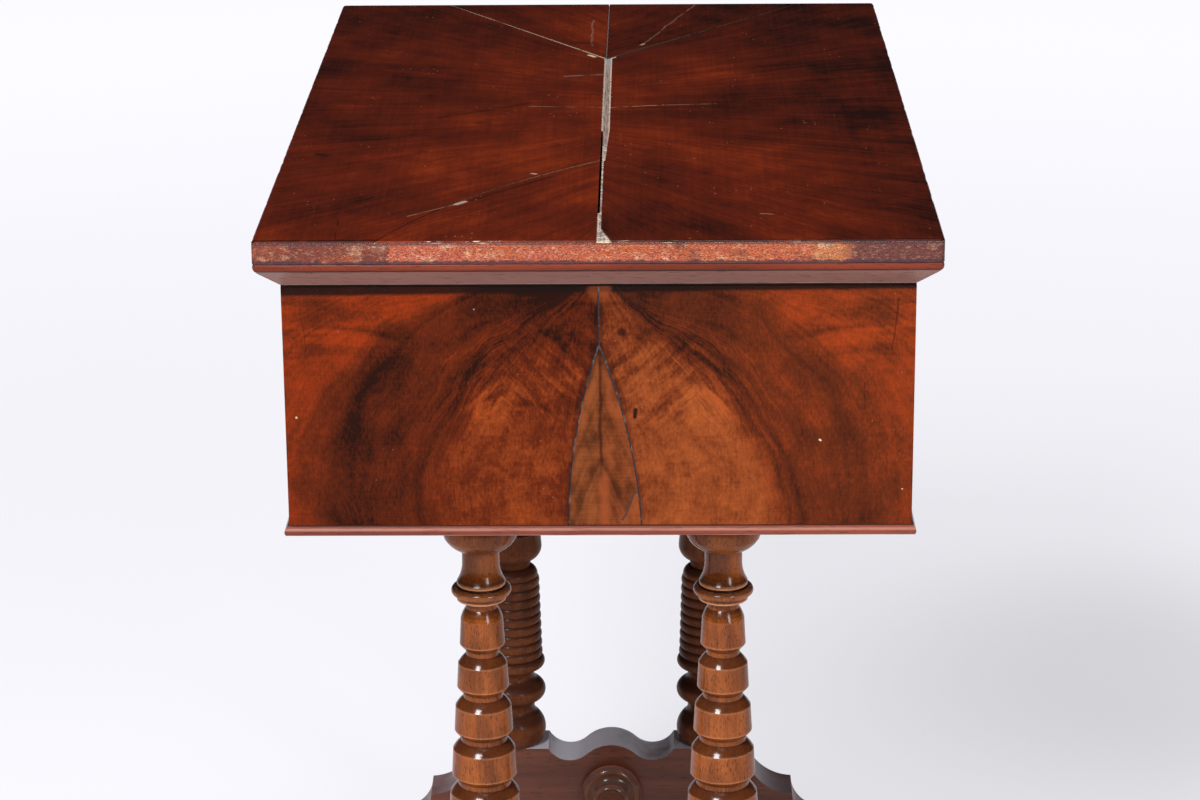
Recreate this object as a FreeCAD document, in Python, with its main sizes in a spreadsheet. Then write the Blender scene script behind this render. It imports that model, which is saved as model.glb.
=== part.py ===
import FreeCAD, Part
import Sketcher
import math
import os
import re

# Work table on two trestle ends: hinged lid over a fitted well, one drawer, turned columns.
# X runs along the table, Y from the drawer side (negative) to the hinge side, Z up from the floor.

SIZES = {
    "table_height": 750,
    # Lid
    "lid_length": 720,
    "lid_width": 435,
    "lid_board_thickness": 13.6,
    "veneer_thickness": 1,
    "moulding_edge_height": 5,
    "moulding_bevel_height": 13,
    "moulding_width": 45,
    "astragal_relief": 0.9,
    "lid_gap": 0.4,
    # Splits in the lid veneer
    "split_offset": 0.6,
    "split_knee": 157,
    "slit_width": 1.5,
    "slit_start": 70,
    "slit_end": 290,
    "bare_strip_width": 4.5,
    "bare_taper_start": 70,
    "bare_end_width": 2.2,
    "bare_edge_width": 1.2,
    "chip_length": 30,
    "chip_width": 8,
    "hairline": 0.7,
    "apex_setback": 2,
    "near_split_reach": 140,
    "near_split_bow": 15,
    "far_front_split_reach": 130,
    "far_back_split_reach": 157,
    # Case
    "lid_overhang": 16,
    "case_height": 168.5,
    "wall": 18,
    "bottom_thickness": 6.5,
    "bead_reach": 3,
    "bead_depth": 6,
    "bead_round": 1.8,
    "bead_toe": 0.9,
    "face_veneer_drop": 1.2,
    "end_split_drop": 40,
    "wedge_front_reach": 20,
    "wedge_back_reach": 27,
    "wedge_bow": 5,
    "end_split_opening": 1.2,
    # Fitted well
    "well_depth": 67,
    "well_floor_thickness": 8,
    "housing_depth": 4,
    "panel_lip": 8,
    "divider_thickness": 6,
    "divider_height": 52,
    "end_bay_length": 135,
    "short_divider_spread": 126,
    # Drawer
    "drawer_gap": 1,
    "drawer_rear_gap": 15,
    "drawer_front_thickness": 18,
    "drawer_side_thickness": 9,
    "drawer_lap": 9,
    "drawer_side_drop": 5,
    "drawer_back_drop": 4,
    "drawer_back_inset": 8,
    "drawer_bottom_thickness": 5,
    "drawer_bottom_lift": 6,
    "runner_height": 5,
    "runner_width": 14,
    "slide_clearance": 0.3,
    "stop_height": 5,
    "stop_length": 20,
    "stop_width": 34,
    "stop_spread": 300,
    "knob_spread": 380,
    "knob_flange_radius": 10,
    "knob_flange_length": 1.2,
    "knob_stem_radius": 6.5,
    "knob_stem_length": 3.8,
    "knob_stem_hollow": 0.9,
    "knob_rim_radius": 10.4,
    "knob_head_length": 6.2,
    "knob_head_bulge": 1.6,
    "knob_tip_radius": 2,
    "knob_crown": 3.2,
    "knob_crown_bulge": 0.9,
    "knob_tenon_radius": 4.5,
    "knob_tenon_length": 14,
    # Butt hinges
    "hinge_inset": 125,
    "hinge_length": 60,
    "hinge_leaf_width": 15,
    "hinge_leaf_thickness": 1.4,
    "hinge_offset": 3.4,
    "barrel_radius": 3,
    "barrel_clearance": 0.4,
    "hinge_pin_radius": 1.5,
    "pin_clearance": 0.05,
    "knuckle_gap": 0.2,
    "hinge_screw_radius": 1.3,
    "hinge_screw_head": 2.6,
    "hinge_screw_length": 11,
    # Bearers under the case
    "column_inset": 101,
    "column_spread": 164,
    "bearer_width": 50,
    "bearer_length": 330,
    "bearer_height": 18.5,
    "bearer_screw_radius": 2.2,
    "bearer_screw_head": 4.4,
    "bearer_screw_head_height": 3,
    "bearer_screw_length": 22,
    "bearer_screw_offset": 50,
    # Turned column, from its foot upward
    "tenon_radius": 9,
    "tenon_gap": 0.15,
    "foot_tenon_length": 34,
    "head_tenon_length": 14,
    "base_radius": 21.8,
    "base_bulge": 5.1,
    "base_height": 25.8,
    "low_cove_height": 13.5,
    "low_cove_depth": 4,
    "ring_seat_radius": 21.3,
    "ring_height": 16.5,
    "ring_bulge": 5.5,
    "high_cove_height": 12.7,
    "high_cove_depth": 5.2,
    "wide_ring_radius": 23.4,
    "wide_ring_height": 9.5,
    "wide_ring_bulge": 3,
    "rib_pitch": 8,
    "rib_depth": 1.4,
    "rib_taper": 0.24,
    "drum_shoulder_height": 8.5,
    "drum_shoulder_bulge": 2.2,
    "waist_radius": 14.9,
    "waist_height": 8.5,
    "waist_depth": 1.6,
    "cup_seat_radius": 20.6,
    "cup_round_height": 11.5,
    "cup_round_bulge": 1.6,
    "bobbin_radius": 15.4,
    "bobbin_growth": 2.35,
    "bobbin_stretch": 0.6,
    "bobbin_taper": 1,
    "bobbin_shoulder_height": 6.4,
    "bobbin_shoulder_bulge": 0.35,
    "bobbin_round_height": 4.4,
    "bobbin_round_bulge": 0.25,
    "groove_depth": 5.4,
    "groove_height": 3.3,
    "top_shoulder_height": 7.8,
    "collar_neck_radius": 11,
    "collar_cove_height": 6.2,
    "collar_cove_depth": 0.9,
    "collar_cove_radius": 12.5,
    "collar_seat_radius": 16.7,
    "collar_fillet_height": 3.2,
    "collar_radius": 17.4,
    "collar_height": 6.4,
    "collar_bulge": 3.4,
    "quirk_radius": 15.6,
    "quirk_height": 1.4,
    "bell_radius": 16.5,
    "bell_rim_height": 2,
    "flare_height": 13,
    "flare_depth": 0.95,
    "neck_radius": 12.7,
    "neck_height": 9.5,
    "bun_seat_radius": 13.2,
    "bun_bowl_height": 9,
    "bun_bowl_bulge": 1.4,
    "bun_rim_radius": 24.4,
    "bun_side_height": 14.5,
    "bun_side_bulge": 2,
    "bun_head_radius": 22.5,
    # Shaped foot boards, sizes from the centre line outward and from the floor up
    "foot_height": 138,
    "foot_thickness": 38.5,
    "hump_half_width": 20.7,
    "hump_rise": 8.2,
    "hump_drop": 5.2,
    "dip_depth": 8,
    "shoulder_start": 53,
    "shoulder_end": 113,
    "upper_cavetto_width": 40,
    "upper_cavetto_height": 42,
    "upper_cavetto_depth": 11.6,
    "lower_cavetto_width": 29,
    "lower_cavetto_height": 29,
    "lower_cavetto_depth": 8.5,
    "toe_ledge": 6,
    "toe_bulge": 8,
    "toe_undercut": 2,
    "foot_pad_length": 74,
    "foot_arch_height": 24,
    "foot_arch_round": 7,
    # Turned stretcher
    "stretcher_height": 100,
    "stretcher_tenon_length": 26,
    "stretcher_collar_radius": 20.5,
    "stretcher_collar_length": 12,
    "stretcher_collar_bulge": 4.5,
    "stretcher_neck_radius": 12,
    "stretcher_cove_length": 8,
    "stretcher_cove_depth": 2.4,
    "stretcher_bead_length": 8,
    "stretcher_bead_bulge": 3.4,
    "stretcher_vase_radius": 18,
    "stretcher_vase_bulge": 2.5,
    "stretcher_fillet_length": 4,
    "stretcher_drum_radius": 19,
}

BOBBIN_COUNT = 5
RIB_COUNT = 9
STRETCHER_RIB_COUNT = 7
RIGHT = FreeCAD.Vector(1, 0, 0)
BACKWARD = FreeCAD.Vector(0, 1, 0)
UP = FreeCAD.Vector(0, 0, 1)
DOWN = FreeCAD.Vector(0, 0, -1)
SIDES = (("right", 1), ("left", -1))

doc = FreeCAD.newDocument("work_table")
sheet = doc.addObject("Spreadsheet::Sheet", "size")
for row, (alias, number) in enumerate(SIZES.items(), start=1):
    sheet.set(f"A{row}", alias.replace("_", " "))
    sheet.set(f"B{row}", str(number))
    sheet.setAlias(f"B{row}", alias)
doc.recompute()

# Levels and faces that several pieces share
HALF_LENGTH = "(lid_length / 2)"
HALF_WIDTH = "(lid_width / 2)"
CASE_X = "(lid_length / 2 - lid_overhang)"
CASE_Y = "(lid_width / 2 - lid_overhang)"
INNER_X = f"({CASE_X} - wall)"
INNER_Y = f"({CASE_Y} - wall)"
BOARD_TOP = "(table_height - veneer_thickness)"
BOARD_BOTTOM = f"({BOARD_TOP} - lid_board_thickness)"
LID_BOTTOM = f"({BOARD_BOTTOM} - moulding_edge_height - moulding_bevel_height)"
CASE_TOP = f"({LID_BOTTOM} - lid_gap)"
CASE_BOTTOM = f"({CASE_TOP} - case_height)"
CASE_FLOOR = f"({CASE_BOTTOM} + bottom_thickness)"
BEARER_BOTTOM = f"({CASE_BOTTOM} - bearer_height)"
COLUMN_HEIGHT = f"({BEARER_BOTTOM} - foot_height)"
WELL_FLOOR = f"({CASE_TOP} - well_depth)"
PANEL_BOTTOM = f"({WELL_FLOOR} - well_floor_thickness - panel_lip)"
COLUMN_X = "(lid_length / 2 - column_inset)"
COLUMN_Y = "(column_spread / 2)"
HINGE_X = f"({CASE_X} - hinge_inset)"
HINGE_Y = f"({CASE_Y} + hinge_offset)"
HINGE_Z = f"({CASE_TOP} + lid_gap / 2)"

pieces = []


def bind(text):
    """Point every size named in an expression at its cell in the sheet."""
    return re.sub(r"[a-z_]+", lambda word: f"size.{word[0]}" if word[0] in SIZES else word[0], str(text))


def value(text):
    return float(sheet.evalExpression(bind(text)))


def minus(text):
    return f"-({text})"


def on_side(sign, inner, outer):
    """X limits of a piece given for the right side, turned over for the left."""
    return (inner, outer) if sign > 0 else (minus(outer), minus(inner))


def keep(piece):
    """Mark an object as one of the table's own pieces."""
    pieces.append(piece)
    return piece


def place(piece, x="0", y="0", z="0"):
    for axis, text in zip("xyz", (x, y, z)):
        piece.setExpression(f"Placement.Base.{axis}", bind(text))
    return piece


def box(label, x, y, z):
    """Board whose faces lie at the given limits along each axis."""
    board = doc.addObject("Part::Box", label)
    for side, (low, high) in zip(("Length", "Width", "Height"), (x, y, z)):
        board.setExpression(side, bind(f"({high}) - ({low})"))
    return place(board, x[0], y[0], z[0])


def rod(label, radius, length, direction, x, y, z):
    """Cylinder from a point along a direction."""
    cylinder = doc.addObject("Part::Cylinder", label)
    cylinder.setExpression("Radius", bind(radius))
    cylinder.setExpression("Height", bind(length))
    cylinder.Placement.Rotation = FreeCAD.Rotation(UP, direction)
    return place(cylinder, x, y, z)


def fuse(label, parts):
    joined = doc.addObject("Part::MultiFuse", label)
    joined.Shapes = parts
    joined.Refine = True
    return joined


def cut(label, blank, tools):
    """Blank with the tools' shapes taken out of it."""
    result = doc.addObject("Part::Cut", label)
    result.Base = blank
    result.Tool = tools[0] if len(tools) == 1 else fuse(f"{label}_tools", tools)
    return result


def group(label, solids):
    bundle = doc.addObject("Part::Compound", label)
    bundle.Links = solids
    return bundle


def mirrored(label, source, normal):
    """Opposite-hand copy across the table's middle plane."""
    copy = doc.addObject("Part::Mirroring", label)
    copy.Source = source
    copy.Normal = normal
    return copy


def bead(height):
    return 1, height


def hollow(depth):
    return -1, depth


def arc_radius(run, rise, height):
    return f"(({run})^2 + ({rise})^2) / (8 * ({height})) + ({height}) / 2"


def arc_between(start, end, side, radius):
    """Counterclockwise arc from start to end (side 1) or from end to start (side -1)."""
    chord = end - start
    middle = (start + end) * 0.5
    leftward = FreeCAD.Vector(-chord.y, chord.x, 0).normalize()
    centre = middle + leftward * side * math.sqrt(radius**2 - chord.Length**2 / 4)
    first, last = (start, end) if side > 0 else (end, start)
    angles = [math.atan2(point.y - centre.y, point.x - centre.x) for point in (first, last)]
    return Part.ArcOfCircle(Part.Circle(centre, UP, radius), *angles)


def draw(body, plane, outlines, chained=False):
    """Sketch closed outlines, counterclockwise, on one of the body's origin planes.

    A corner is (across, up) or (across, up, arc to the next corner). In a chained outline
    each corner after the first gives its height above the corner before it.
    """
    sketch = body.newObject("Sketcher::SketchObject", f"{body.Name}_outline")
    origin = [part for part in body.Origin.OriginFeatures if part.Role == plane]
    sketch.AttachmentSupport = [(origin[0], "")]
    sketch.MapMode = "FlatFace"
    for corners in outlines:
        add_outline(sketch, corners, chained)
    return sketch


def add_outline(sketch, corners, chained):
    points = []
    for across, up, *arc in corners:
        base = points[-1].y if chained and points else 0
        points.append(FreeCAD.Vector(value(across), base + value(up), 0))
    count = len(corners)
    first = sketch.GeometryCount
    ends = []
    rules = []
    for index, (across, up, *arc) in enumerate(corners):
        following = (index + 1) % count
        start, end = points[index], points[following]
        if arc and arc[0]:
            side, height = arc[0]
            run = f"({corners[following][0]}) - ({across})"
            rise = corners[following][1] if chained else f"({corners[following][1]}) - ({up})"
            radius = arc_radius(run, rise, height)
            sketch.addGeometry(arc_between(start, end, side, value(radius)))
            rules.append((("Radius", first + index), radius))
            ends.append((1, 2) if side > 0 else (2, 1))
        else:
            sketch.addGeometry(Part.LineSegment(start, end))
            ends.append((1, 2))
    for index, (across, up, *arc) in enumerate(corners):
        spot = (first + index, ends[index][0])
        before = (first + index - 1, ends[index - 1][0]) if chained and index else (-1, 1)
        rules.append((("DistanceX", -1, 1) + spot, across))
        rules.append((("DistanceY",) + before + spot, up))
    joins = []
    for index in range(count):
        following = (index + 1) % count
        spots = (first + index, ends[index][1], first + following, ends[following][0])
        joins.append(Sketcher.Constraint("Coincident", *spots))
    sketch.addConstraint(joins)
    numbers = sketch.addConstraint([Sketcher.Constraint(*rule, value(text)) for rule, text in rules])
    for number, (rule, text) in zip(numbers, rules):
        sketch.setExpression(f"Constraints[{number}]", bind(text))


def padded(label, plane, corners, thickness):
    """Outline given a thickness, half to each side of its plane."""
    body = doc.addObject("PartDesign::Body", label)
    pad = body.newObject("PartDesign::Pad", f"{label}_pad")
    pad.Profile = draw(body, plane, [corners])
    pad.SideType = "Symmetric"
    pad.setExpression("Length", bind(thickness))
    return body


def turned(label, corners):
    """Profile turned about its own upright axis, drawn from its foot to its head."""
    body = doc.addObject("PartDesign::Body", label)
    turning = body.newObject("PartDesign::Revolution", f"{label}_turning")
    sketch = draw(body, "XZ_Plane", [corners], chained=True)
    turning.Profile = sketch
    turning.ReferenceAxis = (sketch, ["V_Axis"])
    turning.Angle = 360
    return body


def mitred(label, plane, section, run, reach, width):
    """Moulded strip along a side of the table, its ends mitred into the next strips."""
    body = padded(label, plane, section, f"2 * ({run})")
    mitres = []
    for sign in ("1", "-1"):
        tip = (f"{sign} * ({run})", reach)
        heel = (f"{sign} * ({run} - ({width}))", f"({reach}) - ({width})")
        waste = (f"{sign} * ({run})", f"({reach}) - ({width})")
        triangle = [tip, heel, waste]
        if plane == "XZ_Plane":
            triangle = [(across, along) for along, across in triangle]
        mitres.append(triangle)
    pocket = body.newObject("PartDesign::Pocket", f"{label}_mitres")
    pocket.Profile = draw(body, "XY_Plane", mitres)
    pocket.Type = "ThroughAll"
    pocket.SideType = "Symmetric"
    return body


def screw(label, radius, head, head_height, length, direction, x, y, z):
    """Countersunk screw whose head lies flush at the given point."""
    cone = doc.addObject("Part::Cone", f"{label}_head")
    cone.setExpression("Radius1", bind(head))
    cone.setExpression("Radius2", bind(radius))
    cone.setExpression("Height", bind(head_height))
    cone.Placement.Rotation = FreeCAD.Rotation(UP, direction)
    place(cone, x, y, z)
    shank = rod(f"{label}_shank", radius, length, direction, x, y, z)
    return fuse(label, [cone, shank])


# Lid: two core boards, five leaves of veneer and a mitred frame of under-moulding
def lid_boards():
    top = (BOARD_BOTTOM, BOARD_TOP)
    along = (minus(HALF_LENGTH), HALF_LENGTH)
    front = box("lid_board_front_blank", along, (minus(HALF_WIDTH), "split_offset"), top)
    slit_y = ("split_offset - slit_width", "split_offset + slit_width")
    keep(cut("lid_board_front", front, [box("lid_slit", ("slit_start", "slit_end"), slit_y, top)]))
    keep(box("lid_board_back", along, ("split_offset", HALF_WIDTH), top))


def lid_veneers():
    far, near = minus(HALF_LENGTH), HALF_LENGTH
    front, back = minus(HALF_WIDTH), HALF_WIDTH
    far_knee, near_knee = minus("split_knee"), "split_knee"
    slit = "split_offset - slit_width"
    bare_strip = "split_offset + bare_strip_width"
    bare_edge = "split_offset + bare_edge_width"
    crack = "(hairline / 2)"
    leaves = {
        "lid_veneer_front": [
            (far, front),
            (near, front),
            (near, f"-near_split_reach - {crack}", hollow("near_split_bow")),
            (near_knee, slit),
            (far_knee, slit),
            (far, f"-far_front_split_reach - {crack}"),
        ],
        "lid_veneer_front_near": [
            (near, f"-near_split_reach + {crack}"),
            (near, slit),
            (f"{near_knee} + apex_setback", slit, bead("near_split_bow")),
        ],
        "lid_veneer_front_far": [
            (far, f"-far_front_split_reach + {crack}"),
            (f"{far_knee} - apex_setback", f"split_offset - {crack}"),
            (far, f"2 * split_offset - {crack}"),
        ],
        "lid_veneer_back": [
            (near, "split_offset + chip_width"),
            (near, back),
            (far, back),
            (far, f"far_back_split_reach + {crack}"),
            (far_knee, bare_strip),
            ("bare_taper_start", bare_strip),
            (near_knee, "split_offset + bare_end_width"),
            (f"{near_knee} + apex_setback", bare_edge),
            (f"{near} - chip_length", bare_edge),
        ],
        "lid_veneer_back_far": [
            (f"{far_knee} - apex_setback", f"split_offset + {crack}"),
            (far, f"far_back_split_reach - {crack}"),
            (far, f"2 * split_offset + {crack}"),
        ],
    }
    for label, corners in leaves.items():
        leaf = padded(label, "XY_Plane", corners, "veneer_thickness")
        keep(place(leaf, z=f"{BOARD_TOP} + veneer_thickness / 2"))


def moulding_section(reach):
    """Bevel rising outward from the case's face to an upright rounded edge under the lid board."""
    edge = f"{reach} - astragal_relief"
    bevel_top = f"{LID_BOTTOM} + moulding_bevel_height"
    return [
        (f"{reach} - moulding_width", LID_BOTTOM),
        (f"{reach} - lid_overhang", LID_BOTTOM),
        (edge, bevel_top, bead("astragal_relief")),
        (edge, BOARD_BOTTOM),
        (f"{reach} - moulding_width", BOARD_BOTTOM),
    ]


def lid_mouldings():
    width = "moulding_width"
    section = moulding_section(HALF_WIDTH)
    long_blank = mitred("lid_moulding_blank", "YZ_Plane", section, HALF_LENGTH, HALF_WIDTH, width)
    keep(mirrored("lid_moulding_front", long_blank, BACKWARD))
    keep(cut("lid_moulding_back", long_blank, lid_hinge_tools()))
    section = moulding_section(HALF_LENGTH)
    short = mitred("lid_moulding_right", "XZ_Plane", section, HALF_WIDTH, HALF_LENGTH, width)
    keep(short)
    keep(mirrored("lid_moulding_left", short, RIGHT))


# Butt hinges: each has a leaf let into the case back, a leaf let into the lid, and a pin
def hinge_span(sign, start, end):
    """X limits between two fractions of a hinge's length, on the right or left hinge."""
    centre = f"{sign} * {HINGE_X}"
    return f"{centre} + ({start}) * hinge_length", f"{centre} + ({end}) * hinge_length"


def knuckle(label, sign, start, end, radius, trim="0"):
    low, high = hinge_span(sign, start, end)
    length = f"({high}) - ({low}) - 2 * ({trim})"
    return rod(label, radius, length, RIGHT, f"{low} + ({trim})", HINGE_Y, HINGE_Z)


def hinge_leaf(label, sign, bottom, top, knuckles, screws):
    """Plate in the wood, a wing out to each knuckle, the pin hole and countersunk screw holes."""
    plate_y = (f"{CASE_Y} - hinge_leaf_width", CASE_Y)
    plate = box(f"{label}_plate", hinge_span(sign, "-1 / 2", "1 / 2"), plate_y, (bottom, top))
    parts = [plate]
    for number, (start, end, trim) in enumerate(knuckles):
        low, high = hinge_span(sign, start, end)
        wing_x = (f"{low} + {trim}", f"{high} - {trim}")
        parts.append(box(f"{label}_wing{number}", wing_x, (CASE_Y, HINGE_Y), (bottom, top)))
        parts.append(knuckle(f"{label}_knuckle{number}", sign, start, end, "barrel_radius", trim))
    bore = knuckle(f"{label}_bore", sign, "-1 / 2", "1 / 2", "hinge_pin_radius + pin_clearance")
    return keep(cut(label, fuse(f"{label}_blank", parts), [bore] + screws))


def hinge_screws(label, sign, level, direction):
    row = []
    for step in (-1, 0, 1):
        x = f"{sign} * {HINGE_X} + {step} * hinge_length / 3"
        spot = (x, f"{CASE_Y} - hinge_leaf_width / 2", level)
        sizes = ("hinge_screw_radius", "hinge_screw_head", "hinge_leaf_thickness", "hinge_screw_length")
        row.append(screw(f"{label}{step + 1}", *sizes, direction, *spot))
    return row


def hinges():
    case_screws, lid_screws = [], []
    outer_knuckles = [("-1 / 2", "-1 / 6", "0"), ("1 / 6", "1 / 2", "0")]
    middle_knuckle = [("-1 / 6", "1 / 6", "knuckle_gap")]
    for side, sign in SIDES:
        down = hinge_screws(f"case_screw_{side}", sign, CASE_TOP, DOWN)
        up = hinge_screws(f"lid_screw_{side}", sign, LID_BOTTOM, UP)
        case_level = (f"{CASE_TOP} - hinge_leaf_thickness", CASE_TOP)
        lid_level = (LID_BOTTOM, f"{LID_BOTTOM} + hinge_leaf_thickness")
        hinge_leaf(f"hinge_case_leaf_{side}", sign, *case_level, outer_knuckles, down)
        hinge_leaf(f"hinge_lid_leaf_{side}", sign, *lid_level, middle_knuckle, up)
        keep(knuckle(f"hinge_pin_{side}", sign, "-1 / 2", "1 / 2", "hinge_pin_radius"))
        case_screws += down
        lid_screws += up
    keep(group("hinge_case_screws", case_screws))
    keep(group("hinge_lid_screws", lid_screws))


def leaf_mortises(label, bottom, top):
    plate_y = (f"{CASE_Y} - hinge_leaf_width", f"{CASE_Y} + hinge_offset")
    mortises = []
    for side, sign in SIDES:
        limits = hinge_span(sign, "-1 / 2", "1 / 2")
        mortises.append(box(f"{label}_{side}", limits, plate_y, (bottom, top)))
    return mortises


def lid_hinge_tools():
    """Mortises, knuckle clearance and screw holes that the back moulding needs."""
    tools = leaf_mortises("lid_mortise", LID_BOTTOM, f"{LID_BOTTOM} + hinge_leaf_thickness")
    for side, sign in SIDES:
        room = (sign, "-1 / 2", "1 / 2", "barrel_radius + barrel_clearance", "-barrel_clearance")
        tools.append(knuckle(f"lid_knuckle_room_{side}", *room))
    return tools + [doc.getObject("hinge_lid_screws")]


def case_hinge_tools():
    tools = leaf_mortises("case_mortise", f"{CASE_TOP} - hinge_leaf_thickness", CASE_TOP)
    return tools + [doc.getObject("hinge_case_screws")]


# Case: walls on a bottom board with a mitred bead round it, and a fitted well over the drawer
def well():
    """Floor housed in the walls, two cross dividers and two short dividers in each end bay."""
    floor_x = f"({INNER_X} + housing_depth)"
    floor_y = f"({INNER_Y} + housing_depth)"
    level = (f"{WELL_FLOOR} - well_floor_thickness", WELL_FLOOR)
    keep(box("well_floor", (minus(floor_x), floor_x), (minus(floor_y), floor_y), level))
    height = (WELL_FLOOR, f"{WELL_FLOOR} + divider_height")
    bay = f"({INNER_X} - end_bay_length)"
    for side, sign in SIDES:
        for row, row_sign in (("front", -1), ("back", 1)):
            middle = f"{row_sign} * short_divider_spread / 2"
            across = (f"{middle} - divider_thickness / 2", f"{middle} + divider_thickness / 2")
            keep(box(f"well_short_divider_{side}_{row}", on_side(sign, bay, floor_x), across, height))
        along = on_side(sign, f"{bay} - divider_thickness", bay)
        keep(box(f"well_divider_{side}", along, (minus(floor_y), floor_y), height))


def case_walls():
    height = (CASE_FLOOR, CASE_TOP)
    full = (minus(CASE_Y), CASE_Y)
    core = f"({CASE_X} - veneer_thickness)"
    floor = doc.getObject("well_floor")
    dividers = [doc.getObject(f"well_divider_{side}") for side, _ in SIDES]
    for side, sign in SIDES:
        shorts = [doc.getObject(f"well_short_divider_{side}_{row}") for row in ("front", "back")]
        blank = box(f"case_end_{side}_blank", on_side(sign, INNER_X, core), full, height)
        keep(cut(f"case_end_{side}", blank, [floor] + shorts))
    along = (minus(INNER_X), INNER_X)
    back = box("case_back_blank", along, (INNER_Y, CASE_Y), height)
    keep(cut("case_back", back, [floor] + dividers + case_hinge_tools()))
    panel = box("front_panel_blank", along, (minus(CASE_Y), minus(INNER_Y)), (PANEL_BOTTOM, CASE_TOP))
    keep(cut("front_panel", panel, [floor] + dividers))


def case_bottom():
    inset = "(bead_depth - bead_reach)"
    along = f"({CASE_X} - {inset})"
    across = f"({CASE_Y} - {inset})"
    level = (CASE_BOTTOM, CASE_FLOOR)
    board = box("bottom_board_blank", (minus(along), along), (minus(across), across), level)
    keep(cut("bottom_board", board, [doc.getObject("bearer_screws")]))


def bead_section(reach):
    """Thumb moulding that swells out below the veneered face."""
    return [
        (f"{reach} - bead_depth", CASE_BOTTOM),
        (f"{reach} - bead_toe", CASE_BOTTOM, bead("bead_round")),
        (f"{reach} - bead_reach", CASE_FLOOR),
        (f"{reach} - bead_depth", CASE_FLOOR),
    ]


def bottom_beads():
    reach_x = f"({CASE_X} + bead_reach)"
    reach_y = f"({CASE_Y} + bead_reach)"
    width = "bead_depth"
    long_bead = mitred("bottom_bead_back", "YZ_Plane", bead_section(reach_y), reach_x, reach_y, width)
    keep(long_bead)
    keep(mirrored("bottom_bead_front", long_bead, BACKWARD))
    short = mitred("bottom_bead_right", "XZ_Plane", bead_section(reach_x), reach_y, reach_x, width)
    keep(short)
    keep(mirrored("bottom_bead_left", short, RIGHT))


def end_veneers():
    """Book-matched leaves; on the right end they have shrunk apart round a narrow wedge."""
    top = f"({CASE_TOP} - face_veneer_drop)"
    apex = f"({CASE_TOP} - end_split_drop)"
    crack = "(end_split_opening / 2)"
    leaves = {
        "end_veneer_right_front": [
            (minus(CASE_Y), CASE_FLOOR),
            (f"-wedge_front_reach - {crack}", CASE_FLOOR, hollow("wedge_bow")),
            (minus(crack), apex),
            (minus(crack), top),
            (minus(CASE_Y), top),
        ],
        "end_veneer_right_back": [
            (CASE_Y, CASE_FLOOR),
            (CASE_Y, top),
            (crack, top),
            (crack, apex, hollow("wedge_bow")),
            (f"wedge_back_reach + {crack}", CASE_FLOOR),
        ],
        "end_veneer_right_wedge": [
            (f"-wedge_front_reach + {crack}", CASE_FLOOR),
            (f"wedge_back_reach - {crack}", CASE_FLOOR, bead("wedge_bow")),
            ("0", f"{apex} - 2 * end_split_opening", bead("wedge_bow")),
        ],
    }
    centre = f"{CASE_X} - veneer_thickness / 2"
    for label, corners in leaves.items():
        keep(place(padded(label, "YZ_Plane", corners, "veneer_thickness"), x=centre))
    face = (minus(CASE_X), f"veneer_thickness - {CASE_X}")
    joint = "(hairline / 4)"
    keep(box("end_veneer_left_front", face, (minus(CASE_Y), minus(joint)), (CASE_FLOOR, top)))
    keep(box("end_veneer_left_back", face, (joint, CASE_Y), (CASE_FLOOR, top)))


# Drawer: lapped front, grooved sides, a back that stands on the bottom, two turned knobs
def drawer():
    face = minus(CASE_Y)
    reach = f"({INNER_X} - drawer_gap)"
    inside = f"({reach} - drawer_side_thickness)"
    side_bottom = f"({CASE_FLOOR} + runner_height + slide_clearance)"
    front_top = f"({PANEL_BOTTOM} - drawer_gap)"
    side_top = f"({front_top} - drawer_side_drop)"
    floor = f"({side_bottom} + drawer_bottom_lift)"
    floor_top = f"({floor} + drawer_bottom_thickness)"
    tail = f"({INNER_Y} - drawer_rear_gap)"
    groove = f"({inside} + drawer_side_thickness / 2)"
    lap_start = f"{face} + drawer_front_thickness - drawer_lap"

    bottom_y = (f"{face} + drawer_front_thickness - drawer_side_thickness / 2", tail)
    bottom = keep(box("drawer_bottom", (minus(groove), groove), bottom_y, (floor, floor_top)))
    back_y = (f"{tail} - drawer_back_inset - drawer_side_thickness", f"{tail} - drawer_back_inset")
    back_z = (floor_top, f"{side_top} - drawer_back_drop")
    back = keep(box("drawer_back", (minus(groove), groove), back_y, back_z))
    side_blanks = []
    for side, sign in SIDES:
        limits = on_side(sign, inside, reach)
        blank = box(f"drawer_side_{side}_blank", limits, (lap_start, tail), (side_bottom, side_top))
        keep(cut(f"drawer_side_{side}", blank, [bottom, back]))
        side_blanks.append(blank)
    front_y = (face, f"{face} + drawer_front_thickness")
    front_z = (f"{CASE_FLOOR} + drawer_gap", front_top)
    front = box("drawer_front_blank", (minus(reach), reach), front_y, front_z)
    middle = f"({CASE_FLOOR} + {PANEL_BOTTOM}) / 2"
    sockets = []
    for side, sign in SIDES:
        x = f"{sign} * knob_spread / 2"
        hole = ("knob_tenon_radius + tenon_gap", "knob_tenon_length + tenon_gap", BACKWARD)
        sockets.append(rod(f"knob_socket_{side}", *hole, x, face, middle))
        knob(f"drawer_knob_{side}", x, face, middle)
    keep(cut("drawer_front", front, [bottom] + side_blanks + sockets))


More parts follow.
